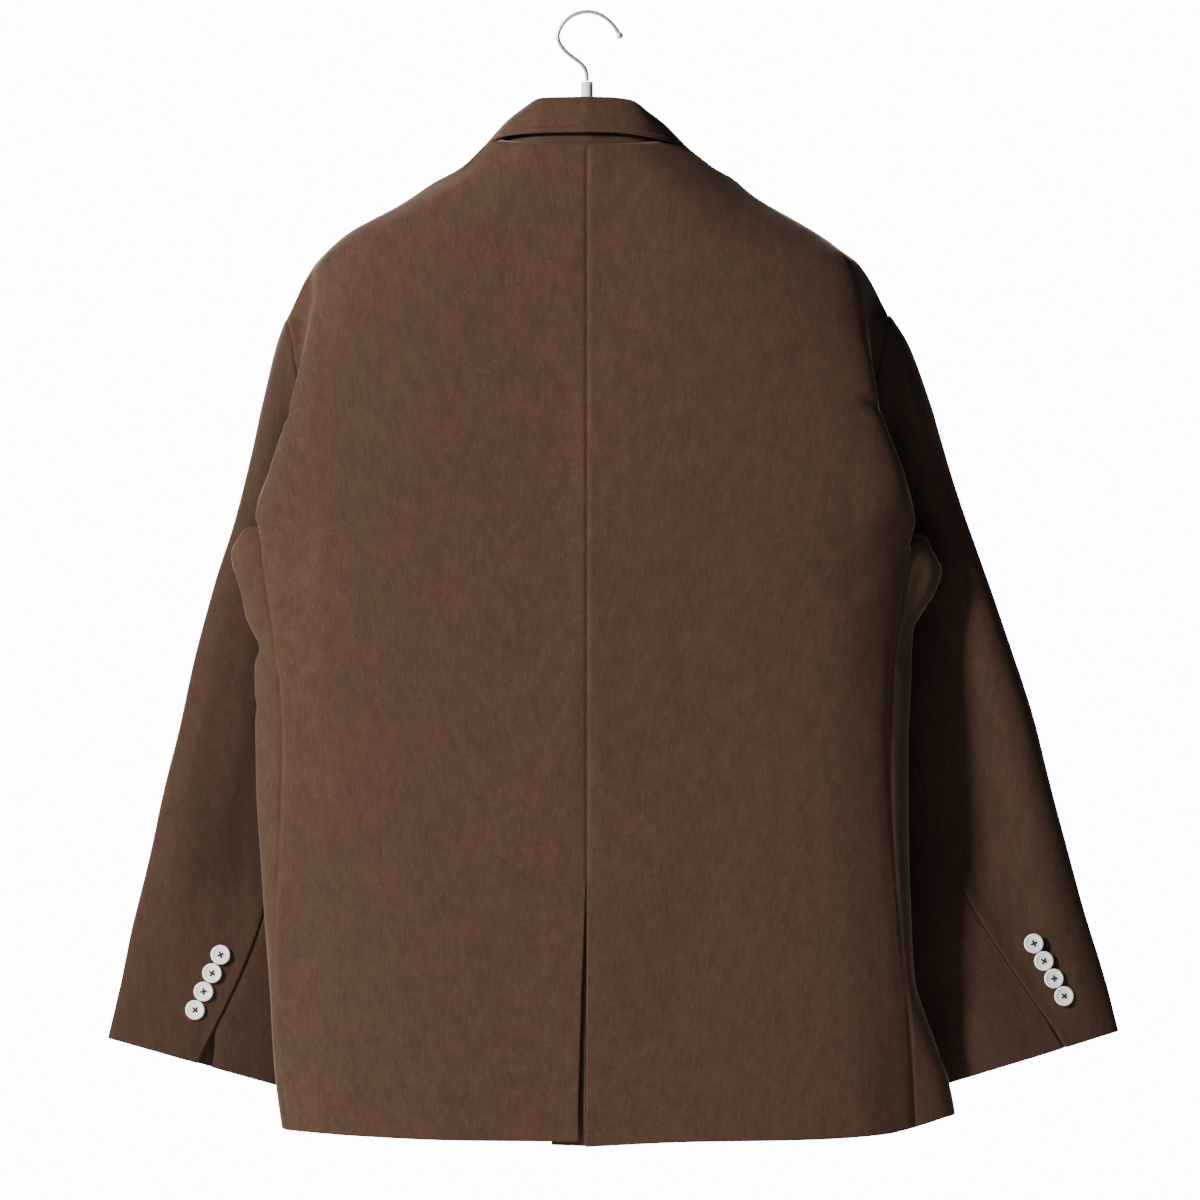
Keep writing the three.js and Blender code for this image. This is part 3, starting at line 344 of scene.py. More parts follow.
def armhole_at(side, drop, way):
    a_ring = side["rings"][0]
    turn = solve(lambda angle: -ring_point(a_ring, way * angle)[..., 2], drop, 0, math.pi)
    return ring_point(a_ring, way * turn)


for a_side in (LEFT, RIGHT):
    rows = a_side["sleeve"]
    a_side["rings"] = [ring(a_side["tip"], a_side["under"], a_side["arm_back"],
                            a_side["arm_front"], a_side["heel"])]
    for i in range(len(rows["drop"])):
        r = {name: rows[name][i] for name in rows}
        a_side["rings"].append(ring(
            (r["outX"], r["outY"], -r["drop"]), (r["inX"], r["inY"], -r["inDrop"]),
            (r["backX"], r["backY"], 0), (r["frontX"], r["frontY"], 0), r["heel"]))
    for key, name, way in (("side_seam", "side_top", 1), ("front_seam", "front_top", -1)):
        seam = a_side.get(key, FRONT_SEAM)
        start = armhole_at(a_side, a_side[name], way)
        first = {"drop": a_side[name], "x": start[0], "y": start[1]}
        a_side[key + "_line"] = follow({k: np.insert(seam[k], 0, first[k]) for k in first})
    for key in ("ridge", "back", "hem", "side_hem", "side_top_share", "vent", "body_edge", "back_seam"):
        a_side[key + "_line"] = follow(a_side[key])


def end_of(side, drop, way):
    """The shoulder seam, then the armhole, then the seam of the side panel."""
    drop = np.asarray(drop, float)
    ridge = side["ridge_line"](drop)
    seam = side["side_seam_line" if way > 0 else "front_seam_line"](drop)
    hole = armhole_at(side, np.clip(drop, -side["tip"][2], -side["under"][2]), way)
    top = drop <= -side["tip"][2]
    arm = drop < side["side_top" if way > 0 else "front_top"]
    x = np.where(top, ridge["x"], np.where(arm, hole[..., 0], seam["x"]))
    y = np.where(top, ridge["y"], np.where(arm, hole[..., 1], seam["y"]))
    return x, y


def back_point(side, across, drop):
    row = side["back_line"](drop)
    x, y = end_of(side, drop, 1)
    start = np.where(np.asarray(drop) > VENT_TOP, side["vent_line"](drop)["x"], 0)
    z = -np.asarray(drop, float)
    return path([
        point(start, row["centreY"], z),
        point(row["foldX"] * 0.5, row["midY"], z),
        point(row["foldX"] * 0.85, row["nearY"], z),
        point(row["foldX"], row["foldY"], z),
        point(row["turnX"], row["turnY"], z),
        point(x, y, z),
    ], across)


def front_point(side, across, drop):
    row = front_line(drop)
    x, y = end_of(side, drop, -1)
    z = -np.asarray(drop, float)
    edge = row["edgeX"]
    place = path([
        point(edge, row["centreY"], z),
        point(mix(edge, x, 0.4), row["midY"], z),
        point(mix(edge, x, 0.75), row["nearY"], z),
        point(mix(edge, x, 0.93), mix(row["nearY"], y, 0.65), z),
        point(x, y, z),
    ], across)
    if side["sign"] < 0:
        place[..., 1] += TUCK * (1 - ramp(place[..., 0], 22, 62))
    return place


def side_point(side, across, drop):
    back = side["side_seam_line"](drop)
    edge = side["body_edge_line"](drop)
    front = side["front_seam_line"](np.maximum(drop, FRONT_SEAM["drop"][0]))
    z = -np.asarray(drop, float)
    return path([
        point(back["x"], back["y"], z),
        point(mix(back["x"], edge["x"], 0.7), mix(back["y"], edge["y"], 0.45), z),
        point(edge["x"], edge["y"], z),
        point(mix(edge["x"], front["x"], 0.2), mix(edge["y"], front["y"], 0.7), z),
        point(mix(edge["x"], front["x"], 0.6), mix(edge["y"], front["y"], 0.97), z),
        point(front["x"], front["y"], z),
    ], across)


def sleeve_point(side, turn, part):
    """One row of a sleeve: turn is an array, part one number from the armhole to the cuff."""
    rings = side["rings"]
    last = len(rings) - 1
    low = min(int(part * last), last - 1)
    t = part * last - low
    near = [min(max(low + i, 0), last) for i in (-1, 0, 1, 2)]
    a, b, c, d = (ring_point(rings[i], turn) for i in near)
    if low == 0:
        a = 2 * b - c
    if low == last - 1:
        d = 2 * c - b
    gap = [np.sqrt(np.linalg.norm(q - p, axis=-1))[..., None] for p, q in ((a, b), (b, c), (c, d))]
    gap[1] = np.where(gap[1] < 1e-4, 1, gap[1])
    gap[0] = np.where(gap[0] < 1e-4, gap[1], gap[0])
    gap[2] = np.where(gap[2] < 1e-4, gap[1], gap[2])
    start = ((b - a) / gap[0] - (c - a) / (gap[0] + gap[1]) + (c - b) / gap[1]) * gap[1]
    end = ((c - b) / gap[1] - (d - b) / (gap[1] + gap[2]) + (d - c) / gap[2]) * gap[1]
    return (b + start * t + (3 * (c - b) - 2 * start - end) * t * t
            + (2 * (b - c) + start + end) * t ** 3)


def collar_point(across, along):
    row = collar_line(np.abs(along))
    neck = point(row["neckX"], row["neckY"], -row["neckDrop"])
    top = point(row["topX"], row["topY"], -row["topDrop"])
    edge = point(row["edgeX"], row["edgeY"], -row["edgeDrop"])
    away = (edge - neck) * np.array([1.0, 1, 0])
    away /= np.linalg.norm(away, axis=-1, keepdims=True)
    inner = mix(neck, top, 0.75) - away * COLLAR_BULGE
    outer = mix(top, edge, 0.25) + away * COLLAR_BULGE
    place = path([neck, inner, top, outer, edge], across)
    along = np.asarray(along, float)
    sag = COLLAR_SAG * ramp(-along, 0.06, 0.3) * (1 - ramp(-along, 0.45, 0.66))
    place[..., 2] -= sag * ramp(across, 0.1, 0.42)
    place[..., 0] *= np.where(along < 0, -1, 1)
    return place


# ---- shells
def arc(grid, axis):
    """Distance along a grid from its first row or column."""
    steps = np.linalg.norm(np.diff(grid, axis=axis), axis=-1)
    pad = [(0, 0), (0, 0)]
    pad[axis] = (1, 0)
    return np.pad(np.cumsum(steps, axis=axis), pad)


def normals(grid, facing):
    across = np.gradient(grid, axis=1)
    down = np.gradient(grid, axis=0)
    out = np.cross(across, down) * facing
    return out / np.maximum(np.linalg.norm(out, axis=-1, keepdims=True), 1e-9)


def spaced(count, length, fine=(0, 0.25, 0.6, 1.1, 1.8, 2.8, 4.2)):
    """Shares of a length, close together at both ends."""
    start = np.array(fine) / length
    middle = np.linspace(fine[-1] / length, 1 - fine[-1] / length, count)
    return np.concatenate([start[:-1], middle, 1 - start[:-1][::-1]])


def rounded(distance, kind, thick, z):
    """How far the outer and the inner face draw in at an edge."""
    if kind in SEAM_ENDS:
        above = ramp(z, *SEAM_ENDS[kind])
        pairs = zip(rounded(distance, "free", thick, z), rounded(distance, "seam", thick, z))
        return tuple(mix(a, b, above) for a, b in pairs)
    if kind == "seam":
        return 0.95 * np.exp(-(distance / 1.9) ** 2), 0.35 * thick * np.exp(-(distance / 1.2) ** 2)
    if kind == "free":
        near = np.clip(1 - distance / (0.62 * thick), 0, 1)
        pull = 0.5 * thick * (1 - np.sqrt(1 - near ** 2 * 0.985))
        return pull, pull * 0.98
    return 0 * distance, 0 * distance


def lean(grid, facing, shared, away):
    """Outward directions, turned near an edge to those that the piece sewn there has too."""
    outward = normals(grid, facing)
    for ways, distance in zip(shared, away):
        if ways is None:
            continue
        known = ~np.isnan(ways[:, :1])
        weight = (np.exp(-(distance / 5) ** 2) * known)[..., None]
        outward = outward * (1 - weight) + np.where(known, ways, 0)[:, None] * weight
        outward /= np.linalg.norm(outward, axis=-1, keepdims=True)
    return outward


def seam_way(z, *pieces):
    """The outward direction along a seam for the pieces that meet there: grid, facing, column."""
    total = np.zeros((len(z), 3))
    for grid, facing, column in pieces:
        ways = normals(grid, facing)[:, column]
        order = np.argsort(grid[:, column, 2])
        heights = grid[order, column, 2]
        total += np.stack([np.interp(z, heights, ways[order, k]) for k in range(3)], -1)
    return total / np.linalg.norm(total, axis=-1, keepdims=True)


def shell(name, grid, facing, mirror=False, edges=("seam",) * 4, relief=None, thick=CLOTH, looks=(),
          shared=(None, None), lift=None):
    """A thin closed cloth piece. edges are those of the first and last column, top and foot."""
    u, v = arc(grid, 1), arc(grid, 0)
    away = (u, u[:, -1:] - u, v, v[-1:] - v)
    rise = np.zeros(u.shape) if relief is None else relief
    for distance, kind in zip(away[:2], edges[:2]):
        if kind != "free":
            rise = rise * ramp(distance, 0, 14)
    if lift is not None:
        rise = rise + lift
    grid = grid + lean(grid, facing, shared, away) * rise[..., None]
    outward = lean(grid, facing, shared, away)
    outer, inner = np.zeros(u.shape), np.zeros(u.shape)
    for distance, kind in zip(away, edges):
        a, b = rounded(distance, kind, thick, grid[..., 2])
        outer, inner = np.maximum(outer, a), np.maximum(inner, b)
    face = grid - outward * outer[..., None]
    lining = grid - outward * (thick - inner)[..., None]
    rows, columns = u.shape
    places = np.concatenate([face.reshape(-1, 3), lining.reshape(-1, 3)]) * MM
    if mirror:
        places[:, 0] *= -1
    a = (np.arange(rows - 1)[:, None] * columns + np.arange(columns - 1)).ravel()
    b, c, d = a + 1, a + columns + 1, a + columns
    back = rows * columns
    quads = [np.stack([a, b, c, d], 1), np.stack([d, c, b, a], 1) + back]
    left, head = np.arange(rows - 1) * columns, np.arange(columns - 1)
    right, foot = left + columns - 1, head + (rows - 1) * columns
    borders = ((left + columns, left), (right, right + columns), (head, head + 1), (foot + 1, foot))
    quads += [np.stack([p, p + back, q + back, q], 1) for p, q in borders]
    faces = np.concatenate(quads)
    if (facing < 0) != mirror:
        faces = faces[:, ::-1]
    uv = np.stack([-u if mirror else u, -v], -1).reshape(-1, 2) * MM + np.array(MIRROR_GRAIN) * mirror
    piece = make(name, places, faces, np.concatenate([uv, uv]), looks)
    slots = np.zeros(len(faces), int)
    slots[len(a):2 * len(a)] = 1
    piece.data.polygons.foreach_set("material_index", slots)
    return piece


def make(name, places, faces, uv=None, looks=()):
    mesh = bpy.data.meshes.new(name)
    faces = faces.tolist() if isinstance(faces, np.ndarray) else [list(f) for f in faces]
    mesh.from_pydata(np.asarray(places).tolist(), [], faces)
    if uv is not None:
        layer = mesh.uv_layers.new(name="grain")
        loops = np.zeros(len(mesh.loops), int)
        mesh.loops.foreach_get("vertex_index", loops)
        layer.data.foreach_set("uv", np.asarray(uv)[loops].ravel())
    mesh.validate()
    mesh.polygons.foreach_set("use_smooth", [True] * len(mesh.polygons))
    for look in looks:
        mesh.materials.append(look)
    piece = bpy.data.objects.new(name, mesh)
    bpy.context.scene.collection.objects.link(piece)
    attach(piece, "root")
    return piece


def waves(x, z, seed, size, height, count=9):
    """Soft uneven swells, the same each run."""
    random = np.random.default_rng(seed)
    total = np.zeros(np.broadcast(x, z).shape)
    for _ in range(count):
        angle = random.uniform(0, math.pi)
        length = size * random.uniform(0.7, 1.6)
        phase = random.uniform(0, 2 * math.pi)
        total += np.sin((x * math.cos(angle) + z * 0.6 * math.sin(angle)) * 2 * math.pi / length + phase)
    return total * height / math.sqrt(count)


def crease(x, z, line, wide, deep):
    """A trough, or a ridge if deep is negative, along a line of points, that fades at its ends."""
    line = np.array(line, float)
    lengths = np.linalg.norm(np.diff(line, axis=0), axis=1)
    at = np.concatenate([[0], np.cumsum(lengths)]) / lengths.sum()
    best = np.full(np.shape(x), 1e9)
    where = np.zeros(np.shape(x))
    for i in range(len(line) - 1):
        step = line[i + 1] - line[i]
        t = np.clip(((x - line[i, 0]) * step[0] + (z - line[i, 1]) * step[1]) / (step @ step), 0, 1)
        gap = np.hypot(x - line[i, 0] - t * step[0], z - line[i, 1] - t * step[1])
        nearer = gap < best
        where = np.where(nearer, mix(at[i], at[i + 1], t), where)
        best = np.minimum(best, gap)
    fade = np.sin(np.pi * np.clip(where, 0.02, 0.98)) ** 0.7
    return -deep * fade * np.exp(-(best / wide) ** 2)


# ---- materials
def nodes_of(name):
    look = bpy.data.materials.new(name)
    look.use_nodes = True
    tree = look.node_tree
    return look, tree, tree.nodes["Principled BSDF"]


def feed(tree, node, inputs):
    """Links sockets to a node's inputs, and sets the others to plain values."""
    for key, value in dict(inputs).items():
        if isinstance(value, bpy.types.NodeSocket):
            tree.links.new(value, node.inputs[key])
        else:
            node.inputs[key].default_value = value
    return node


def add(tree, kind, inputs=(), **settings):
    node = tree.nodes.new(kind)
    for key, value in settings.items():
        setattr(node, key, value)
    return feed(tree, node, inputs)


def noise(tree, where, scale, detail=3.0, rough=0.55, stretch=(1, 1, 1)):
    place = add(tree, "ShaderNodeMapping", {"Vector": where, "Scale": stretch})
    return add(tree, "ShaderNodeTexNoise", {
        "Vector": place.outputs[0], "Scale": scale, "Detail": detail, "Roughness": rough}).outputs[0]


def blend(tree, share, a, b):
    return add(tree, "ShaderNodeMix", {0: share, 6: a, 7: b}, data_type="RGBA").outputs[2]


def levels(tree, value, low, high, to_low=0.0, to_high=1.0):
    return add(tree, "ShaderNodeMapRange", {
        "Value": value, "From Min": low, "From Max": high, "To Min": to_low, "To Max": to_high}).outputs[0]


def moleskin(name, tone_and_painted_shade):
    """Short dense nap: olive and red patches, brushed streaks, fine pile and stray lint."""
    look, tree, shader = nodes_of(name)
    # every colour is scaled by this number: the body's copy keeps its own tone, and the sleeves' copy has a
    # low one that paints shade into it
    shade = lambda *colour: tuple(part * tone_and_painted_shade for part in colour) + (1,)
    grain = add(tree, "ShaderNodeUVMap", uv_map="grain").outputs[0]
    body = add(tree, "ShaderNodeTexCoord").outputs["Object"]
    patches = noise(tree, body, 11, 3, 0.6, (1, 1, 0.6))
    clouds = noise(tree, body, 42, 4, 0.6, (1, 1, 0.5))
    mottle = noise(tree, grain, 85, 6, 0.68, (1, 0.55, 1))
    streaks = noise(tree, grain, 430, 5, 0.7, (1, 0.24, 1))
    cross = noise(tree, grain, 420, 4, 0.65, (0.35, 1, 1))
    pile = noise(tree, grain, 2600, 3, 0.7, (1, 0.5, 1))
    lint = add(tree, "ShaderNodeTexVoronoi", {"Vector": grain, "Scale": 150.0, "Randomness": 1.0})
    hue = add(tree, "ShaderNodeMath", {0: patches, 1: clouds}, operation="ADD").outputs[0]
    olive, red = shade(0.0752, 0.0438, 0.0268), shade(0.0885, 0.0432, 0.0292)
    colour = blend(tree, levels(tree, hue, 0.86, 1.14), olive, red)
    for layer, low, high, most, tint in (
        (mottle, 0.36, 0.64, 0.55, (0.043, 0.024, 0.016)),
        (streaks, 0.42, 0.70, 0.36, (0.122, 0.068, 0.049)),
        (cross, 0.45, 0.70, 0.32, (0.045, 0.026, 0.018)),
        (pile, 0.35, 0.65, 0.40, (0.036, 0.020, 0.014)),
        (lint.outputs["Distance"], 0.05, 0.03, 0.30, (0.36, 0.29, 0.24)),
    ):
        colour = blend(tree, levels(tree, layer, low, high, 0.0, most), colour, shade(*tint))
    normal = {}
    for height, strength, distance in (
        (mottle, 0.30, 0.0008), (streaks, 0.25, 0.0002), (pile, 0.75, 0.00018),
    ):
        bump = {"Height": height, "Strength": strength, "Distance": distance} | normal
        normal = {"Normal": add(tree, "ShaderNodeBump", bump).outputs[0]}
    feed(tree, shader, normal | {
        "Base Color": colour, "Roughness": 0.95, "Specular IOR Level": 0.10, "Sheen Weight": 0.48,
        "Sheen Roughness": 0.34, "Sheen Tint": (0.86, 0.68, 0.58, 1)})
    return look


def reverse():
    """The unbrushed inside of the cloth, with its fine diagonal weave; its dark colour is partly painted
    shade for gaps.
    """
    look, tree, shader = nodes_of("moleskin_reverse_painted_shade")
    grain = add(tree, "ShaderNodeUVMap", uv_map="grain").outputs[0]
    turned = add(tree, "ShaderNodeMapping", {"Vector": grain, "Rotation": (0, 0, math.radians(27))})
    weave = add(tree, "ShaderNodeTexWave", {
        "Vector": turned.outputs[0], "Scale": 260.0, "Distortion": 1.2, "Detail": 2.0})
    cloudy = noise(tree, grain, 60, 4, 0.6)
    # these browns are the reverse's colour darkened as painted shade, so that the gaps at the vents and cuffs
    # look dark where the inside shows
    colour = blend(tree, levels(tree, cloudy, 0.3, 0.7), (0.048, 0.028, 0.019, 1), (0.062, 0.037, 0.026, 1))
    colour = blend(tree, levels(tree, weave.outputs[0], 0.2, 0.9, 0, 0.4), colour, (0.034, 0.020, 0.014, 1))
    bump = add(tree, "ShaderNodeBump", {"Height": weave.outputs[0], "Strength": 0.4, "Distance": 0.0002})
    feed(tree, shader, {"Base Color": colour, "Roughness": 0.9, "Specular IOR Level": 0.15,
                        "Normal": bump.outputs[0]})
    return look


def plain(name, colour, rough, scale, change, depth, metal=0.0, coat=0.0):
    """A moulded or polished surface with slight clouding and a fine bump."""
    look, tree, shader = nodes_of(name)
    body = add(tree, "ShaderNodeTexCoord").outputs["Object"]
    cloud = noise(tree, body, scale, 4, 0.6)
    darker = tuple(c * (1 - change) for c in colour) + (1,)
    bump = add(tree, "ShaderNodeBump", {"Height": cloud, "Strength": 0.25, "Distance": depth})
    feed(tree, shader, {
        "Base Color": blend(tree, levels(tree, cloud, 0.3, 0.7), colour + (1,), darker),
        "Roughness": levels(tree, cloud, 0.2, 0.8, rough * 0.85, rough * 1.15),
        "Metallic": metal, "Coat Weight": coat, "Normal": bump.outputs[0]})
    return look


NAP = moleskin("moleskin", 0.91)
# the sleeves' copy is darker all over: painted shade for sleeves that hang further back, in shadow
SHADED_SLEEVE_NAP = moleskin("moleskin_sleeve_painted_shade", 0.64)
SHADED_REVERSE = reverse()
PEARL = plain("button_pearl", (0.93, 0.92, 0.89), 0.32, 320, 0.10, 0.0002, coat=0.4)
# dark thread for the buttons; the buttonholes' slits use it too, where it paints the shade of the opening
THREAD_AND_SLIT_SHADE = plain("thread", (0.030, 0.018, 0.013), 0.8, 2500, 0.4, 0.0002)
SEWING = plain("sewing_thread", (0.060, 0.034, 0.024), 0.75, 2500, 0.4, 0.0002)
MOULDED = plain("hanger_white", (0.95, 0.945, 0.94), 0.42, 60, 0.02, 0.0002)
STEEL = plain("hook_steel", (0.86, 0.87, 0.88), 0.42, 500, 0.12, 0.00003, metal=1.0)
CLOTHS = (NAP, SHADED_REVERSE)
SHADED_SLEEVE_CLOTHS = (SHADED_SLEEVE_NAP, SHADED_REVERSE)


# ---- panels
def rows_to(hem, top, foot, count, low):
    """Drops of a grid: evenly down to foot, and then down to a hem that slopes."""
    upper = np.linspace(top, foot, count)[:, None] + 0 * hem[None]
    share = np.linspace(0, 1, low + 1)[1:, None]
    share = 1 - (1 - share) ** 1.25
    return np.concatenate([upper, foot + (hem[None] - foot) * share])


def back_grid(side):
    across = spaced(88, 245)
    hem = side["hem_line"](across)["drop"]
    drop = rows_to(hem, NECK_DROP, BACK_FOOT, 200, 36)
    drop = drop - NECK_RISE * across ** 2 * (1 - ramp(drop, NECK_DROP, NECK_BLEND))
    return back_point(side, across[None] + 0 * drop, drop)


def front_grid(side):
    across = spaced(64, 225)
    drop = np.linspace(NECK_DROP, FRONT_LENGTH, 190)[:, None] + 0 * across[None]
    hem = 1 - ramp(FRONT_LENGTH - drop, 0, FRONT_HEM_BLEND)
    drop = drop - FRONT_HEM_RISE * hem * across ** 2
    return front_point(side, across[None] + 0 * drop, drop)


def side_grid(side):
    across = spaced(26, 60)
    part = spaced(120, 465)
    share = side["side_top_share_line"](across)["share"]
    top = mix(side["side_top"], side["front_top"], share) + UNDERARM_AIR
    hem = side["side_hem_line"](across)["drop"]
    drop = mix(top[None], hem[None], part[:, None])
    return side_point(side, across[None] + 0 * drop, drop)


def edge_ways(z, side, low, shoulder, seam):
    """Directions down a panel's edge: shared at the shoulder and below the armhole, its own between."""
    ways = np.full((len(z), 3), np.nan)
    top = z > side["tip"][2]
    foot = z < -low - SEAM_SETTLE
    if shoulder:
        ways[top] = seam_way(z[top], *shoulder)
    ways[foot] = seam_way(z[foot], *seam)
    return ways


def pressed(side, key, grid, relief):
    """Adds a piece's creases, and the hem's second layer that shows as a faint step."""
    for line, wide, deep in side["creases"].get(key, ()):
        relief = relief + crease(grid[..., 0], grid[..., 2], line, wide, deep)
    v = arc(grid, 0)
    return relief + HEM_STEP * (1 - ramp(v[-1:] - v, *HEM_LAYER))


def body_panels(side):
    back, front, flank = back_grid(side), front_grid(side), side_grid(side)
    left = side["sign"] > 0
    name = "_left_cloth" if left else "_right_cloth"
    shoulder = ((back, 1, -1), (front, -1, -1))
    back_seam = ((back, 1, -1), (flank, 1, 0))
    front_seam = ((front, -1, -1), (flank, 1, -1))
    back_low, front_low = side["side_top"], side["front_top"]

    x, z = back[..., 0], back[..., 2]
    relief = waves(x, z, 11 + side["sign"], 190, 0.6) + waves(x, z, 15 + side["sign"], 70, 0.16)
    upright = np.zeros((len(back), 3)) + np.array([0.0, 1, 0])
    ways = edge_ways(z[:, -1], side, back_low, shoulder, back_seam)
    back_piece = shell("back" + name, back, 1, not left, ("vent", "seam", "seam", "free"),
                       pressed(side, "back", back, relief), looks=CLOTHS, shared=(upright, ways))

    x, z = front[..., 0], front[..., 2]
    relief = waves(x, z, 31 + side["sign"], 200, 0.5) * ramp(arc(front, 1), 10, 60)
    ways = edge_ways(z[:, -1], side, front_low, shoulder, front_seam)
    front_piece = shell("front" + name, front, -1, not left, ("free", "seam", "seam", "free"),
                        pressed(side, "front", front, relief), looks=CLOTHS, shared=(None, ways))

    x, z = flank[..., 0], flank[..., 2]
    relief = waves(x * 2, z, 51 + side["sign"], 150, 0.5)
    first = edge_ways(z[:, 0], side, back_low, (), back_seam)
    last = edge_ways(z[:, -1], side, front_low, (), front_seam)
    side_piece = shell("side" + name, flank, 1, not left, ("seam", "seam", "seam", "free"),
                       pressed(side, "side", flank, relief), looks=CLOTHS, shared=(first, last))
    return {"back": back_piece, "front": front_piece, "side": side_piece}


def groove(distance, at, wide, deep):
    return -deep * np.exp(-((distance - at) / wide) ** 2)


def sleeve_way(side, turn, part):
    step = 1e-3
    around = sleeve_point(side, turn + step, part) - sleeve_point(side, turn - step, part)
    along = sleeve_point(side, turn, min(part + step, 1)) - sleeve_point(side, turn, max(part - step, 0))
    way = np.cross(along, around)
    return way / np.linalg.norm(way, axis=-1, keepdims=True)


VENT_FINE = (0, 0.25, 0.6, 1.1, 1.8, 2.8, 4.2, 5.6, 6.3, 6.7, 7.0, 7.3, 7.7, 8.4, 9.8)


def sleeve_piece(side, name, start, stop, columns, edges):
    """The upper sleeve's last column and the under sleeve's first one are the back seam and vent."""
    upper = edges[1] == "cuff"
    part = spaced(170, 575)
    shares = spaced(columns, 150, VENT_FINE)
    rows, turns, first, last = [], [], [], []
    for p in part:
        low, high = math.radians(start(p)), math.radians(stop(p))
        turns.append(mix(low, high, shares))
        rows.append(sleeve_point(side, turns[-1], p))
        first.append(sleeve_way(side, np.array(low), p))
        last.append(sleeve_way(side, np.array(high), p))
    grid = np.array(rows)
    x, z = grid[..., 0], grid[..., 2]
    u, v = arc(grid, 1), arc(grid, 0)
    vent = u[:, -1:] - u if upper else u
    opened = ramp(part, CUFF_OPEN - 0.02, CUFF_OPEN + 0.04)[:, None]
    relief = waves(x * 1.4 + z * 0.35, z, 71 + side["sign"], 130, 0.7)
    relief = relief + waves(x, z, 75 + side["sign"], 60, 0.15)
    relief = pressed(side, "sleeve", grid, relief)
    turns = np.array(turns)
    round_share = (1 - np.cos(turns)) / 2
    tall, middle, wide = SLEEVE_RIDGE
    ridge = tall * np.exp(-((round_share - middle) / wide) ** 2)
    lower = ramp(-z, 300, 430)
    deep, near, far = side["valley"]
    deep = mix(deep, 8, ramp(-z, 610, 720))
    valley = deep * ramp(round_share, mix(0.10, near, lower), mix(0.50, far, lower))
    valley = valley * (1 - ramp(round_share, 0.86, 1.0))
    slope = (ridge - valley) * ramp(np.sin(turns), 0, 0.35)
    slope = slope * ramp(-z, 240, 310) * ramp(v, 6, 50) * (1 - ramp(-z, *side["valley_end"]))
    lift = slope + (0.75 if upper else -0.85) * opened * np.exp(-(vent / 6) ** 2)
    if upper:
        lift = lift + opened * groove(vent, 7, 0.55, 0.32)
    return shell(name, grid, -1, side["sign"] < 0, edges, relief, looks=SHADED_SLEEVE_CLOTHS,
                 shared=(np.array(first), np.array(last)), lift=lift)


def sleeves(side):
    seam = lambda part: float(side["back_seam_line"](part)["angle"])
    ease = lambda part: HEEL_EASE * (1 - float(ramp(part, 0, HEEL_LENGTH)))
    gape = lambda part: side["gape"] * float(ramp(part, 0.93, 1.0))
    name = "_left_cloth" if side["sign"] > 0 else "_right_cloth"
    upper = sleeve_piece(side, "upper_sleeve" + name, lambda p: FRONT_SEAM_TURN - 360,
                         lambda p: seam(p) - ease(p), 62, ("seam", "cuff", "seam", "free"))
    under = sleeve_piece(side, "under_sleeve" + name, lambda p: seam(p) + ease(p) + gape(p),
                         lambda p: FRONT_SEAM_TURN, 32, ("cuff", "seam", "seam", "free"))
    return {"upper_sleeve": upper, "under_sleeve": under}


def height_of(side):
    """The front's surface as a height over x and drop."""
    across = np.linspace(0, 1, 90)
    step_x, step_drop = 2.0, 3.0
    drops = np.arange(NECK_DROP, FRONT_LENGTH + 1, step_drop)
    grid = front_point(side, across[None] + 0 * drops[:, None], drops[:, None] + 0 * across[None])
    xs = np.arange(-WRAP, 236, step_x)
    heights = np.array([np.interp(xs, row[:, 0], row[:, 1]) for row in grid])

    def height(x, drop):
        r = np.clip((np.asarray(drop, float) - drops[0]) / step_drop, 0, len(drops) - 1.001)
        c = np.clip((np.asarray(x, float) - xs[0]) / step_x, 0, len(xs) - 1.001)
        i, j = r.astype(int), c.astype(int)
        top = mix(heights[i, j], heights[i, j + 1], c - j)
        low = mix(heights[i + 1, j], heights[i + 1, j + 1], c - j)
        return mix(top, low, r - i)

    return height


def on_front(side, x, drop, out):
    height = side["height"]
    y = height(x, drop)
    slope_x = (height(x + 3, drop) - height(x - 3, drop)) / 6
    slope_z = -(height(x, drop + 4) - height(x, drop - 4)) / 8
    normal = point(slope_x, -1, slope_z)
    normal /= np.linalg.norm(normal, axis=-1, keepdims=True)
    return point(x, y, -np.asarray(drop, float)) + normal * np.asarray(out)[..., None]


def lapel(side):
    across = spaced(30, 60)[None]
    part = spaced(90, 260)[:, None]
    roll = mix(GORGE_DROP, BREAK_DROP - 4, part)
    edge_drop = mix(LAPEL_EDGE["drop"][0], LAPEL_EDGE["drop"][-1], part)
    x = mix(front_line(roll)["edgeX"] + 0.3, lapel_line(edge_drop)["x"], across)
    drop = mix(roll, edge_drop, across)
    lift = LAPEL_ROLL * np.sin(math.pi * np.minimum(across * 1.4, 1)) * (1 - part)
    grid = on_front(side, x, drop, CLOTH + LAPEL_AIR + lift)
    name = "lapel_left" if side["sign"] > 0 else "lapel_right"
    return shell(name + "_cloth", grid, -1, side["sign"] < 0, ("seam", "free", "free", "free"),
                 looks=CLOTHS)


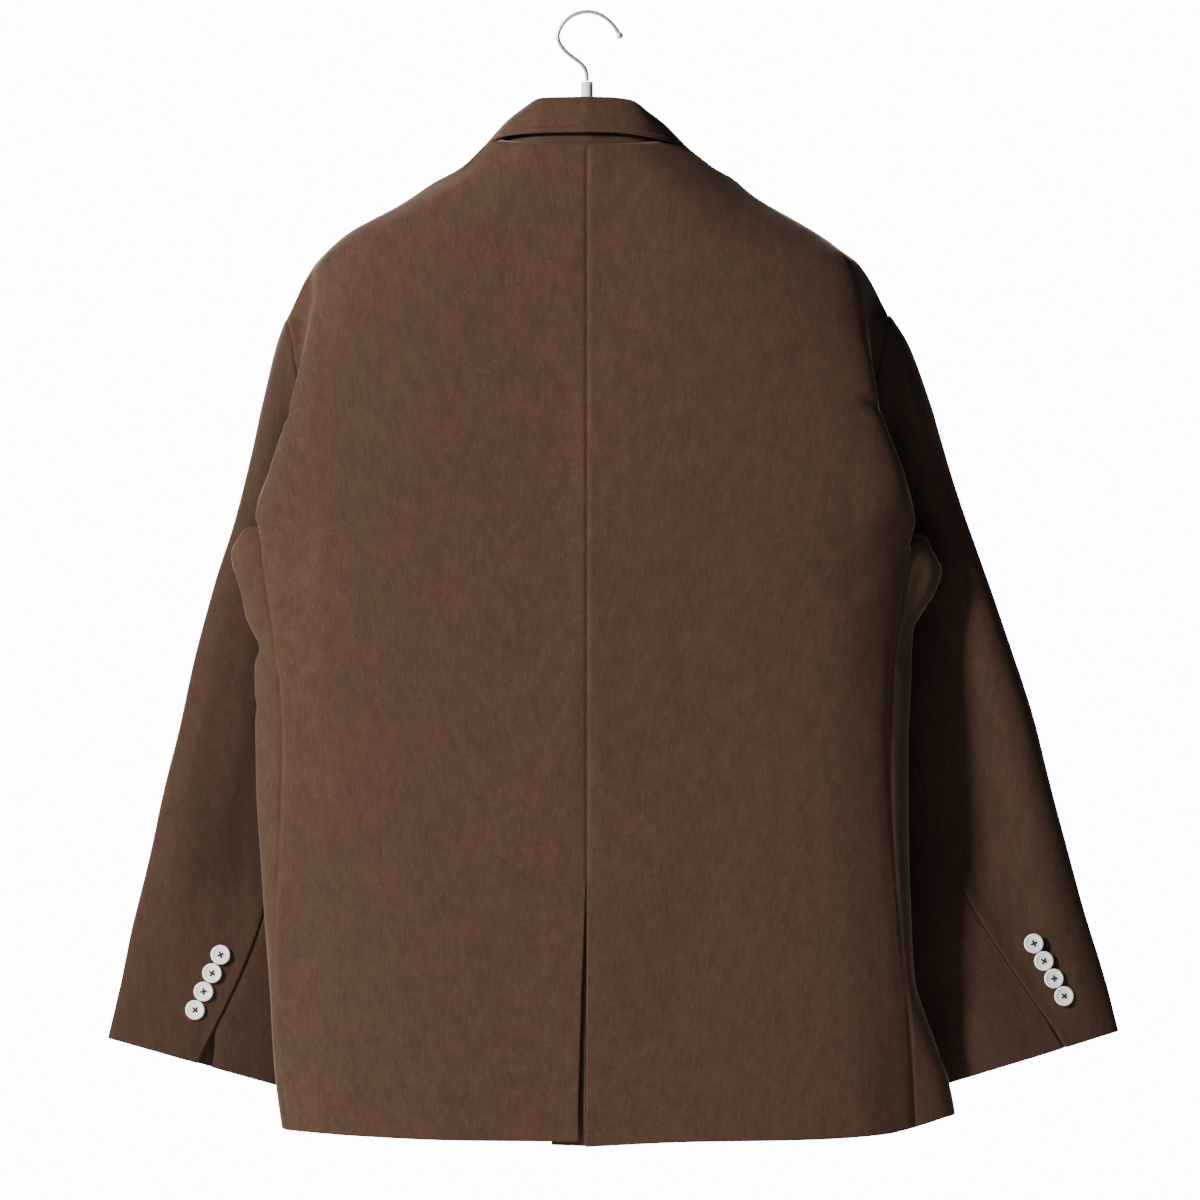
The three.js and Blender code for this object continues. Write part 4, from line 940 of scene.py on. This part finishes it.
def collar_piece(name, start, stop, columns, edges):
    along = np.linspace(-1, 1, 200)[None]
    fine = (0, 0.25, 0.6, 1.1, 1.8, 2.8, 3.5, 3.9, 4.2, 4.5, 4.8, 5.2, 5.9, 7.2)
    part = spaced(columns, 45, fine if stop == 1 else fine[:6])[:, None]
    grid = collar_point(mix(start, stop, part) + 0 * along, along + 0 * part)
    relief = waves(grid[..., 0], grid[..., 2] * 2, 91, 70, 0.25)
    v = arc(grid, 0)
    lift = groove(v[-1:] - v, COLLAR_STITCH, 0.6, 0.55) if stop == 1 else None
    return shell(name, grid, 1, False, edges, relief, looks=CLOTHS, lift=lift)


def underlap():
    across = spaced(18, 27)[None]
    part = spaced(80, 205)[:, None]
    drop = mix(VENT_TOP - 6, UNDERLAP_DROP - across, part)
    centre = RIGHT["back_line"](drop)["centreY"]
    reach = mix(*UNDERLAP_REACH, part)
    depth = mix(0.2, UNDERLAP_SINK, ramp(across, 0, 0.2)) + UNDERLAP_AIR
    grid = point(mix(1.2, reach, across), centre - depth, -drop)
    return shell("vent_underlap_cloth", grid, 1, False, ("none", "free", "none", "free"), looks=CLOTHS)


# ---- buttons
def lathe(profile, turns):
    """Places and faces of a turned form about Y, closed at both ends on the axis."""
    profile = np.array(profile, float)
    angles = np.arange(turns) * 2 * math.pi / turns
    inner = profile[1:-1]
    places = [(0, profile[0][1], 0)]
    for r, y in inner:
        places += [(r * math.cos(a), y, r * math.sin(a)) for a in angles]
    places.append((0, profile[-1][1], 0))
    faces = [(0, 1 + i, 1 + (i + 1) % turns) for i in range(turns)]
    for k in range(len(inner) - 1):
        for i in range(turns):
            a, b = 1 + k * turns + i, 1 + k * turns + (i + 1) % turns
            faces.append((a, a + turns, b + turns, b))
    end = len(places) - 1
    base = 1 + (len(inner) - 1) * turns
    faces += [(end, base + (i + 1) % turns, base + i) for i in range(turns)]
    return np.array(places), faces


def basis(outward):
    """Columns that turn +Y to the outward direction."""
    y = np.array(outward, float) / np.linalg.norm(outward)
    x = np.cross(y, (0, 0, 1.0))
    x /= np.linalg.norm(x)
    return np.stack([x, y, np.cross(x, y)], 1)


def ring_faces(rows, sides):
    """Faces of a row of rings, closed at both ends."""
    faces = [(r + k, r + (k + 1) % sides, r + sides + (k + 1) % sides, r + sides + k)
             for r in range(0, (rows - 1) * sides, sides) for k in range(sides)]
    return faces + [tuple(range(sides))[::-1], tuple((rows - 1) * sides + k for k in range(sides))]


def tube(points, radius, sides=8):
    """Places and faces of a round tube along points."""
    points = np.array(points, float)
    ways = np.gradient(points, axis=0)
    ways /= np.linalg.norm(ways, axis=1, keepdims=True)
    side = np.cross(ways[0], (0.3, 0.2, 0.93))
    side /= np.linalg.norm(side)
    places = []
    for p, way in zip(points, ways):
        side = side - way * (side @ way)
        side /= np.linalg.norm(side)
        other = np.cross(way, side)
        for k in range(sides):
            a = 2 * math.pi * k / sides
            places.append(p + radius * (side * math.cos(a) + other * math.sin(a)))
    return np.array(places), ring_faces(len(points), sides)


def sew(name, parts, look):
    """Threads, each one given by its places and faces, as one piece."""
    places, faces, count = [], [], 0
    for part, part_faces in parts:
        faces += [tuple(i + count for i in f) for f in part_faces]
        places.append(part)
        count += len(part)
    sewn = make(name, np.concatenate(places) * MM, faces, looks=(look,))


def button(name, across, place, outward, spin, node):
    t = BUTTON_THICK
    profile = [
        (0, 0), (0.80, 0), (0.90, 0.1), (0.985, 0.32), (1, 0.5), (0.985, 0.72), (0.94, 0.92), (0.88, 1),
        (0.80, 0.985), (0.72, 0.86), (0.64, 0.79), (0.50, 0.76), (0.3, 0.75), (0, 0.75),
    ]
    places, faces = lathe(np.array(profile) * (across / 2, t), 48)
    turn = basis(outward)
    start = np.array(place) + np.array(outward) * BUTTON_AIR
    body = make(name + "_shell", (places @ turn.T + start) * MM, faces, looks=(PEARL,))
    hole, reach = across * 0.052, across * 0.098 * 1.414
    for i in range(4):
        a = spin + math.pi / 4 + i * math.pi / 2
        middle = np.array([math.cos(a), 0, math.sin(a)]) * reach
        pit, pit_faces = lathe([(0, -0.2 * t), (hole, -0.2 * t), (hole, 1.2 * t), (0, 1.2 * t)], 16)
        cutter = make(name + "_cut", ((pit + middle) @ turn.T + start) * MM, pit_faces)
        cut = body.modifiers.new("hole", "BOOLEAN")
        cut.operation, cut.solver, cut.object = "DIFFERENCE", "EXACT", cutter
        bpy.context.view_layer.update()
        graph = bpy.context.evaluated_depsgraph_get()
        mesh = bpy.data.meshes.new_from_object(body.evaluated_get(graph))
        body.modifiers.clear()
        body.data = mesh
        bpy.data.objects.remove(cutter)
    body.data.polygons.foreach_set("use_smooth", [True] * len(body.data.polygons))
    body.data.set_sharp_from_angle(angle=math.radians(40))
    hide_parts(node)
    threads = []
    for way in (1, -1):
        a = spin + way * math.pi / 4
        u = np.array([math.cos(a), 0, math.sin(a)]) * reach
        w = np.array([-math.sin(a), 0, math.cos(a)]) * across * 0.028
        rise = [(-1.02, 0.2), (-1.0, 0.74), (-0.75, 0.90), (0, 0.98 + 0.05 * way),
                (0.75, 0.90), (1.0, 0.74), (1.02, 0.2)]
        for lane in (-1, 0, 1):
            line = [u * s + w * lane + np.array([0, t * h, 0]) for s, h in rise]
            part, part_faces = tube(line, across * 0.017, 6)
            threads.append((part @ turn.T + start, part_faces))
    sew(name + "_thread", threads, THREAD_AND_SLIT_SHADE)


def on_sleeve(side, x, drop):
    """Place and outward direction of a point on the back of a sleeve."""
    turn, part = math.pi / 2, 0.9
    for _ in range(12):
        part = solve(lambda v: np.array(-sleeve_point(side, turn, float(v))[2]), drop, 0.5, 1)
        turn = float(solve(lambda v: sleeve_point(side, v, float(part))[..., 0], x, 0.1, math.pi - 0.1))
    part = float(part)
    place, outward = sleeve_point(side, turn, part), sleeve_way(side, turn, part)
    if side["sign"] < 0:
        place[0] *= -1
        outward[0] *= -1
    return place, outward


# ---- hanger
def shoulder_drop(side, x):
    return solve(lambda drop: side["ridge_line"](drop)["x"], x, 93, 232)


def hanger_top(x):
    side = LEFT if x > 0 else RIGHT
    reach = abs(x)
    if reach > HANGER_BEND:
        return float(shoulder_drop(side, reach)) + HANGER_UNDER
    end = float(shoulder_drop(side, HANGER_BEND)) + HANGER_UNDER
    return mix(end - HANGER_RISE, end, math.sin(reach / HANGER_BEND * math.pi / 2) ** 2)


def hanger():
    rings = []
    sides = 24
    a = np.arange(sides) * 2 * math.pi / sides
    reach, near = HANGER_REACH, HANGER_REACH - 8
    middle_xs = np.linspace(2 - near, near - 2, 95)
    for x in np.concatenate([np.linspace(-reach, -near, 8), middle_xs, np.linspace(near, reach, 8)]):
        top = hanger_top(x)
        end = math.sqrt(max(1 - (abs(x) / (HANGER_REACH + 1)) ** 12, 0.02))
        side = LEFT if x > 0 else RIGHT
        middle = HANGER_Y
        if abs(x) > 70:
            middle = float(side["ridge_line"](shoulder_drop(side, abs(x)))["y"])
        y = middle + HANGER_WIDE / 2 * end * np.cos(a)
        rings.append(point(x, y, -top - HANGER_TALL / 2 + HANGER_TALL / 2 * end * np.sin(a)))
    arms = make("hanger_arms", np.concatenate(rings) * MM, ring_faces(len(rings), sides), looks=(MOULDED,))
    foot = hanger_top(0) + HANGER_TALL / 2
    heights = np.linspace(0, foot - NECK_TOP - 1, 24)
    radii = 4.4 + (HANGER_NECK - 4.4) * np.exp(-heights / 15)
    profile = [(0, -foot)] + list(zip(radii, -foot + heights))
    profile += [(4.0, -NECK_TOP - 0.4), (3.4, -NECK_TOP), (0, -NECK_TOP)]
    places, faces = lathe(profile, 32)
    places = places[:, [0, 2, 1]] + np.array([0, HANGER_Y, 0])
    neck = make("hanger_neck", places * MM, [f[::-1] for f in faces], looks=(MOULDED,))
    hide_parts("hanger")


def hook():
    centre = np.array([0, HANGER_Y, -HOOK_RADIUS + HOOK_WIRE / 2])
    knots = []
    for turn in np.linspace(168, 12, 9):
        a = math.radians(turn)
        grown = 1 + 0.1 * float(ramp(turn, 120, 168))
        knots.append(centre + HOOK_RADIUS * np.array([math.cos(a) * grown, 0, math.sin(a)]))
    for x, z in ((21, -24), (15, -31), (7, -36), (1.5, -41), (0, -46), (0, -NECK_TOP + HOOK_GAP)):
        knots.append(np.array([x, HANGER_Y, z]))
    knots = np.array(knots)
    curve = bpy.data.curves.new("hook_wire", "CURVE")
    curve.dimensions = "3D"
    spline = curve.splines.new("NURBS")
    spline.points.add(len(knots) - 1)
    for p, k in zip(spline.points, knots * MM):
        p.co = (*k, 1)
    spline.use_endpoint_u = True
    spline.order_u = 4
    spline.resolution_u = 10
    curve.bevel_depth = HOOK_WIRE / 2 * MM
    curve.bevel_resolution = 6
    curve.use_fill_caps = True
    curve.materials.append(STEEL)
    wire = bpy.data.objects.new("hook_wire", curve)
    bpy.context.scene.collection.objects.link(wire)
    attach(wire, "root")
    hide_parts("hanger_hook")
    bead = [(0, -2.6), (1.0, -2.45), (1.9, -1.8), (2.3, -0.7), (2.3, 0.7), (1.9, 1.8), (1.0, 2.45), (0, 2.6)]
    places, faces = lathe(bead, 24)
    way = knots[0] - knots[1]
    end = (places @ basis(way / np.linalg.norm(way)).T + knots[0]) * MM
    tip = make("hook_tip", end, faces, looks=(STEEL,))


# ---- sewing
def stitches(name, places, ways, length=3.0, gap=1.1, radius=0.2):
    """Short threads laid along a line of places, sunk by half into the cloth."""
    places, ways = np.array(places), np.array(ways)
    at = np.concatenate([[0], np.cumsum(np.linalg.norm(np.diff(places, axis=0), axis=1))])
    parts, start = [], gap
    while start + length < at[-1]:
        line = []
        for share, sink in ((0, 0.35), (0.18, 0.0), (0.5, -0.08), (0.82, 0.0), (1, 0.35)):
            s = start + share * length
            p = np.array([np.interp(s, at, places[:, k]) for k in range(3)])
            n = np.array([np.interp(s, at, ways[:, k]) for k in range(3)])
            line.append(p - n * sink)
        parts.append(tube(line, radius, 5))
        start += length + gap
    sew(name, parts, SEWING)


def collar_stitches():
    along = np.linspace(-0.99, 0.99, 240)
    turn = np.full(240, 1.0)
    edge = collar_point(turn, along)
    inner = collar_point(turn - 0.12, along)
    step = inner - edge
    step /= np.linalg.norm(step, axis=1, keepdims=True)
    way = np.cross(np.gradient(edge, axis=0), -step)
    way /= np.linalg.norm(way, axis=1, keepdims=True)
    way *= np.sign(way[120, 1])
    stitches("collar_stitching", edge + step * COLLAR_STITCH - way * 0.45, way, radius=0.22)


def cuff_marks(side, end):
    """Four short worked marks beside each cuff's buttons, where its false holes end."""
    (x0, d0), (x1, d1) = side["cuff_buttons"]
    for i in range(4):
        x, drop = mix(x0, x1, i / 3), mix(d0, d1, i / 3)
        _, outward = on_sleeve(side, x + 16.5, drop - 2)
        low, _ = on_sleeve(side, x + 14.8 + 3.2, drop + 1.6)
        high, _ = on_sleeve(side, x + 14.8, drop - 5.4)
        line = [mix(low, high, t) + outward * (0.12 - 0.5 * abs(2 * t - 1) ** 4)
                for t in np.linspace(0, 1, 9)]
        sew(f"cuff_mark{end}_{i + 1}", [tube(line, 0.33, 6)], SEWING)


def buttonhole(index, drop):
    """A worked hole in the left front, from just past its button's middle."""
    turns = np.linspace(0, 2 * math.pi, 49)
    x = 6.5 + 12.5 * np.cos(turns)
    z_off = np.sign(np.sin(turns)) * np.abs(np.sin(turns)) ** 0.45 * 1.15
    line = [on_front(LEFT, a, drop - b, 0.15) for a, b in zip(x, z_off)]
    sew(f"front_buttonhole_{index}", [tube(line, 0.75, 8)], SEWING)
    # the slit is a dark thread-coloured tube along the cut: painted shade of the opening
    painted_shade_slit = [on_front(LEFT, a, drop, 0.1) for a in np.linspace(-4.5, 17.5, 24)]
    sew(f"front_buttonhole_{index}_slit", [tube(painted_shade_slit, 0.42, 6)], THREAD_AND_SLIT_SHADE)


def cloth(piece, key, node):
    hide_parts(node)


for a_side in (LEFT, RIGHT):
    end = "_left" if a_side["sign"] > 0 else "_right"
    a_side["height"] = height_of(a_side)
    made = body_panels(a_side) | sleeves(a_side) | {"lapel": lapel(a_side)}
    for key, piece in made.items():
        cloth(piece, key, key + end)
    (x0, d0), (x1, d1) = a_side["cuff_buttons"]
    for i in range(4):
        place, outward = on_sleeve(a_side, mix(x0, x1, i / 3), mix(d0, d1, i / 3))
        name = f"cuff_button{end}_{i + 1}"
        button(name, CUFF_BUTTON, place, outward, 0.4 + 0.9 * i, name)
    cuff_marks(a_side, end)
for key, piece in (
    ("collar_stand", collar_piece("collar_stand_cloth", 0, ROLL_SEAM, 20, ("free", "free", "seam", "seam"))),
    ("collar_fall", collar_piece("collar_fall_cloth", ROLL_SEAM, 1, 30, ("free", "free", "seam", "free"))),
    ("vent_underlap", underlap()),
):
    cloth(piece, key, key)
collar_stitches()
for i, drop in enumerate(FRONT_BUTTON_DROPS):
    place = point(0, LEFT["height"](0.0, drop), -drop)
    button(f"front_button_{i + 1}", FRONT_BUTTON, place, (0, -1, 0), 0.7 * i, f"front_button_{i + 1}")
    buttonhole(i + 1, drop)
hanger()
hook()


# ---- stage
def stage():
    floor = bpy.data.meshes.new("floor")
    sides = 96
    ring_places = [(2.2 * math.cos(2 * math.pi * i / sides), 2.2 * math.sin(2 * math.pi * i / sides), -1.3)
                   for i in range(sides)]
    floor.from_pydata(ring_places, [], [tuple(range(sides))])
    look, tree, shader = nodes_of("floor_pale")
    feed(tree, shader, {"Base Color": (0.82, 0.82, 0.83, 1), "Roughness": 0.8})
    floor.materials.append(look)
    ground = bpy.data.objects.new("floor", floor)
    bpy.context.scene.collection.objects.link(ground)
    world = bpy.data.worlds.new("studio")
    bpy.context.scene.world = world
    world.use_nodes = True
    tree = world.node_tree
    ambient = feed(tree, tree.nodes["Background"], {"Color": (0.93, 0.95, 1.0, 1), "Strength": 0.024})
    seen = add(tree, "ShaderNodeBackground", {"Color": (0.955, 0.960, 0.975, 1), "Strength": 14.0})
    ray = add(tree, "ShaderNodeLightPath")
    both = add(tree, "ShaderNodeMixShader", {0: ray.outputs["Is Camera Ray"], 1: ambient.outputs[0],
                                             2: seen.outputs[0]})
    tree.links.new(both.outputs[0], tree.nodes["World Output"].inputs[0])
    aim = np.array([0.0, 0.0, -0.45])
    for name, place, size, power, colour in (
        ("key", (3.0, 2.3, 1.0), 0.6, 365, (1.0, 0.98, 0.96)),
        ("top", (-0.2, 1.9, 2.9), 1.0, 10, (0.98, 0.99, 1.0)),
        ("front", (0.9, -2.9, 2.0), 1.2, 230, (1.0, 0.98, 0.95)),
    ):
        lamp = bpy.data.lights.new(name, "AREA")
        lamp.size, lamp.energy, lamp.color = size, power, colour
        holder = bpy.data.objects.new(name, lamp)
        holder.location = place
        way = Vector(aim - np.array(place))
        holder.rotation_euler = way.to_track_quat("-Z", "Y").to_euler()
        bpy.context.scene.collection.objects.link(holder)
    camera = bpy.data.cameras.new("camera")
    camera.sensor_width = 36
    distance = 20.0
    camera.lens = camera.sensor_width * distance / SEEN
    camera.clip_end = 50
    eye = bpy.data.objects.new("camera", camera)
    eye.location = (-0.0099, distance + 0.02, -0.4465)
    eye.rotation_euler = (math.radians(90), 0, math.radians(180))
    bpy.context.scene.collection.objects.link(eye)
    bpy.context.scene.camera = eye


stage()
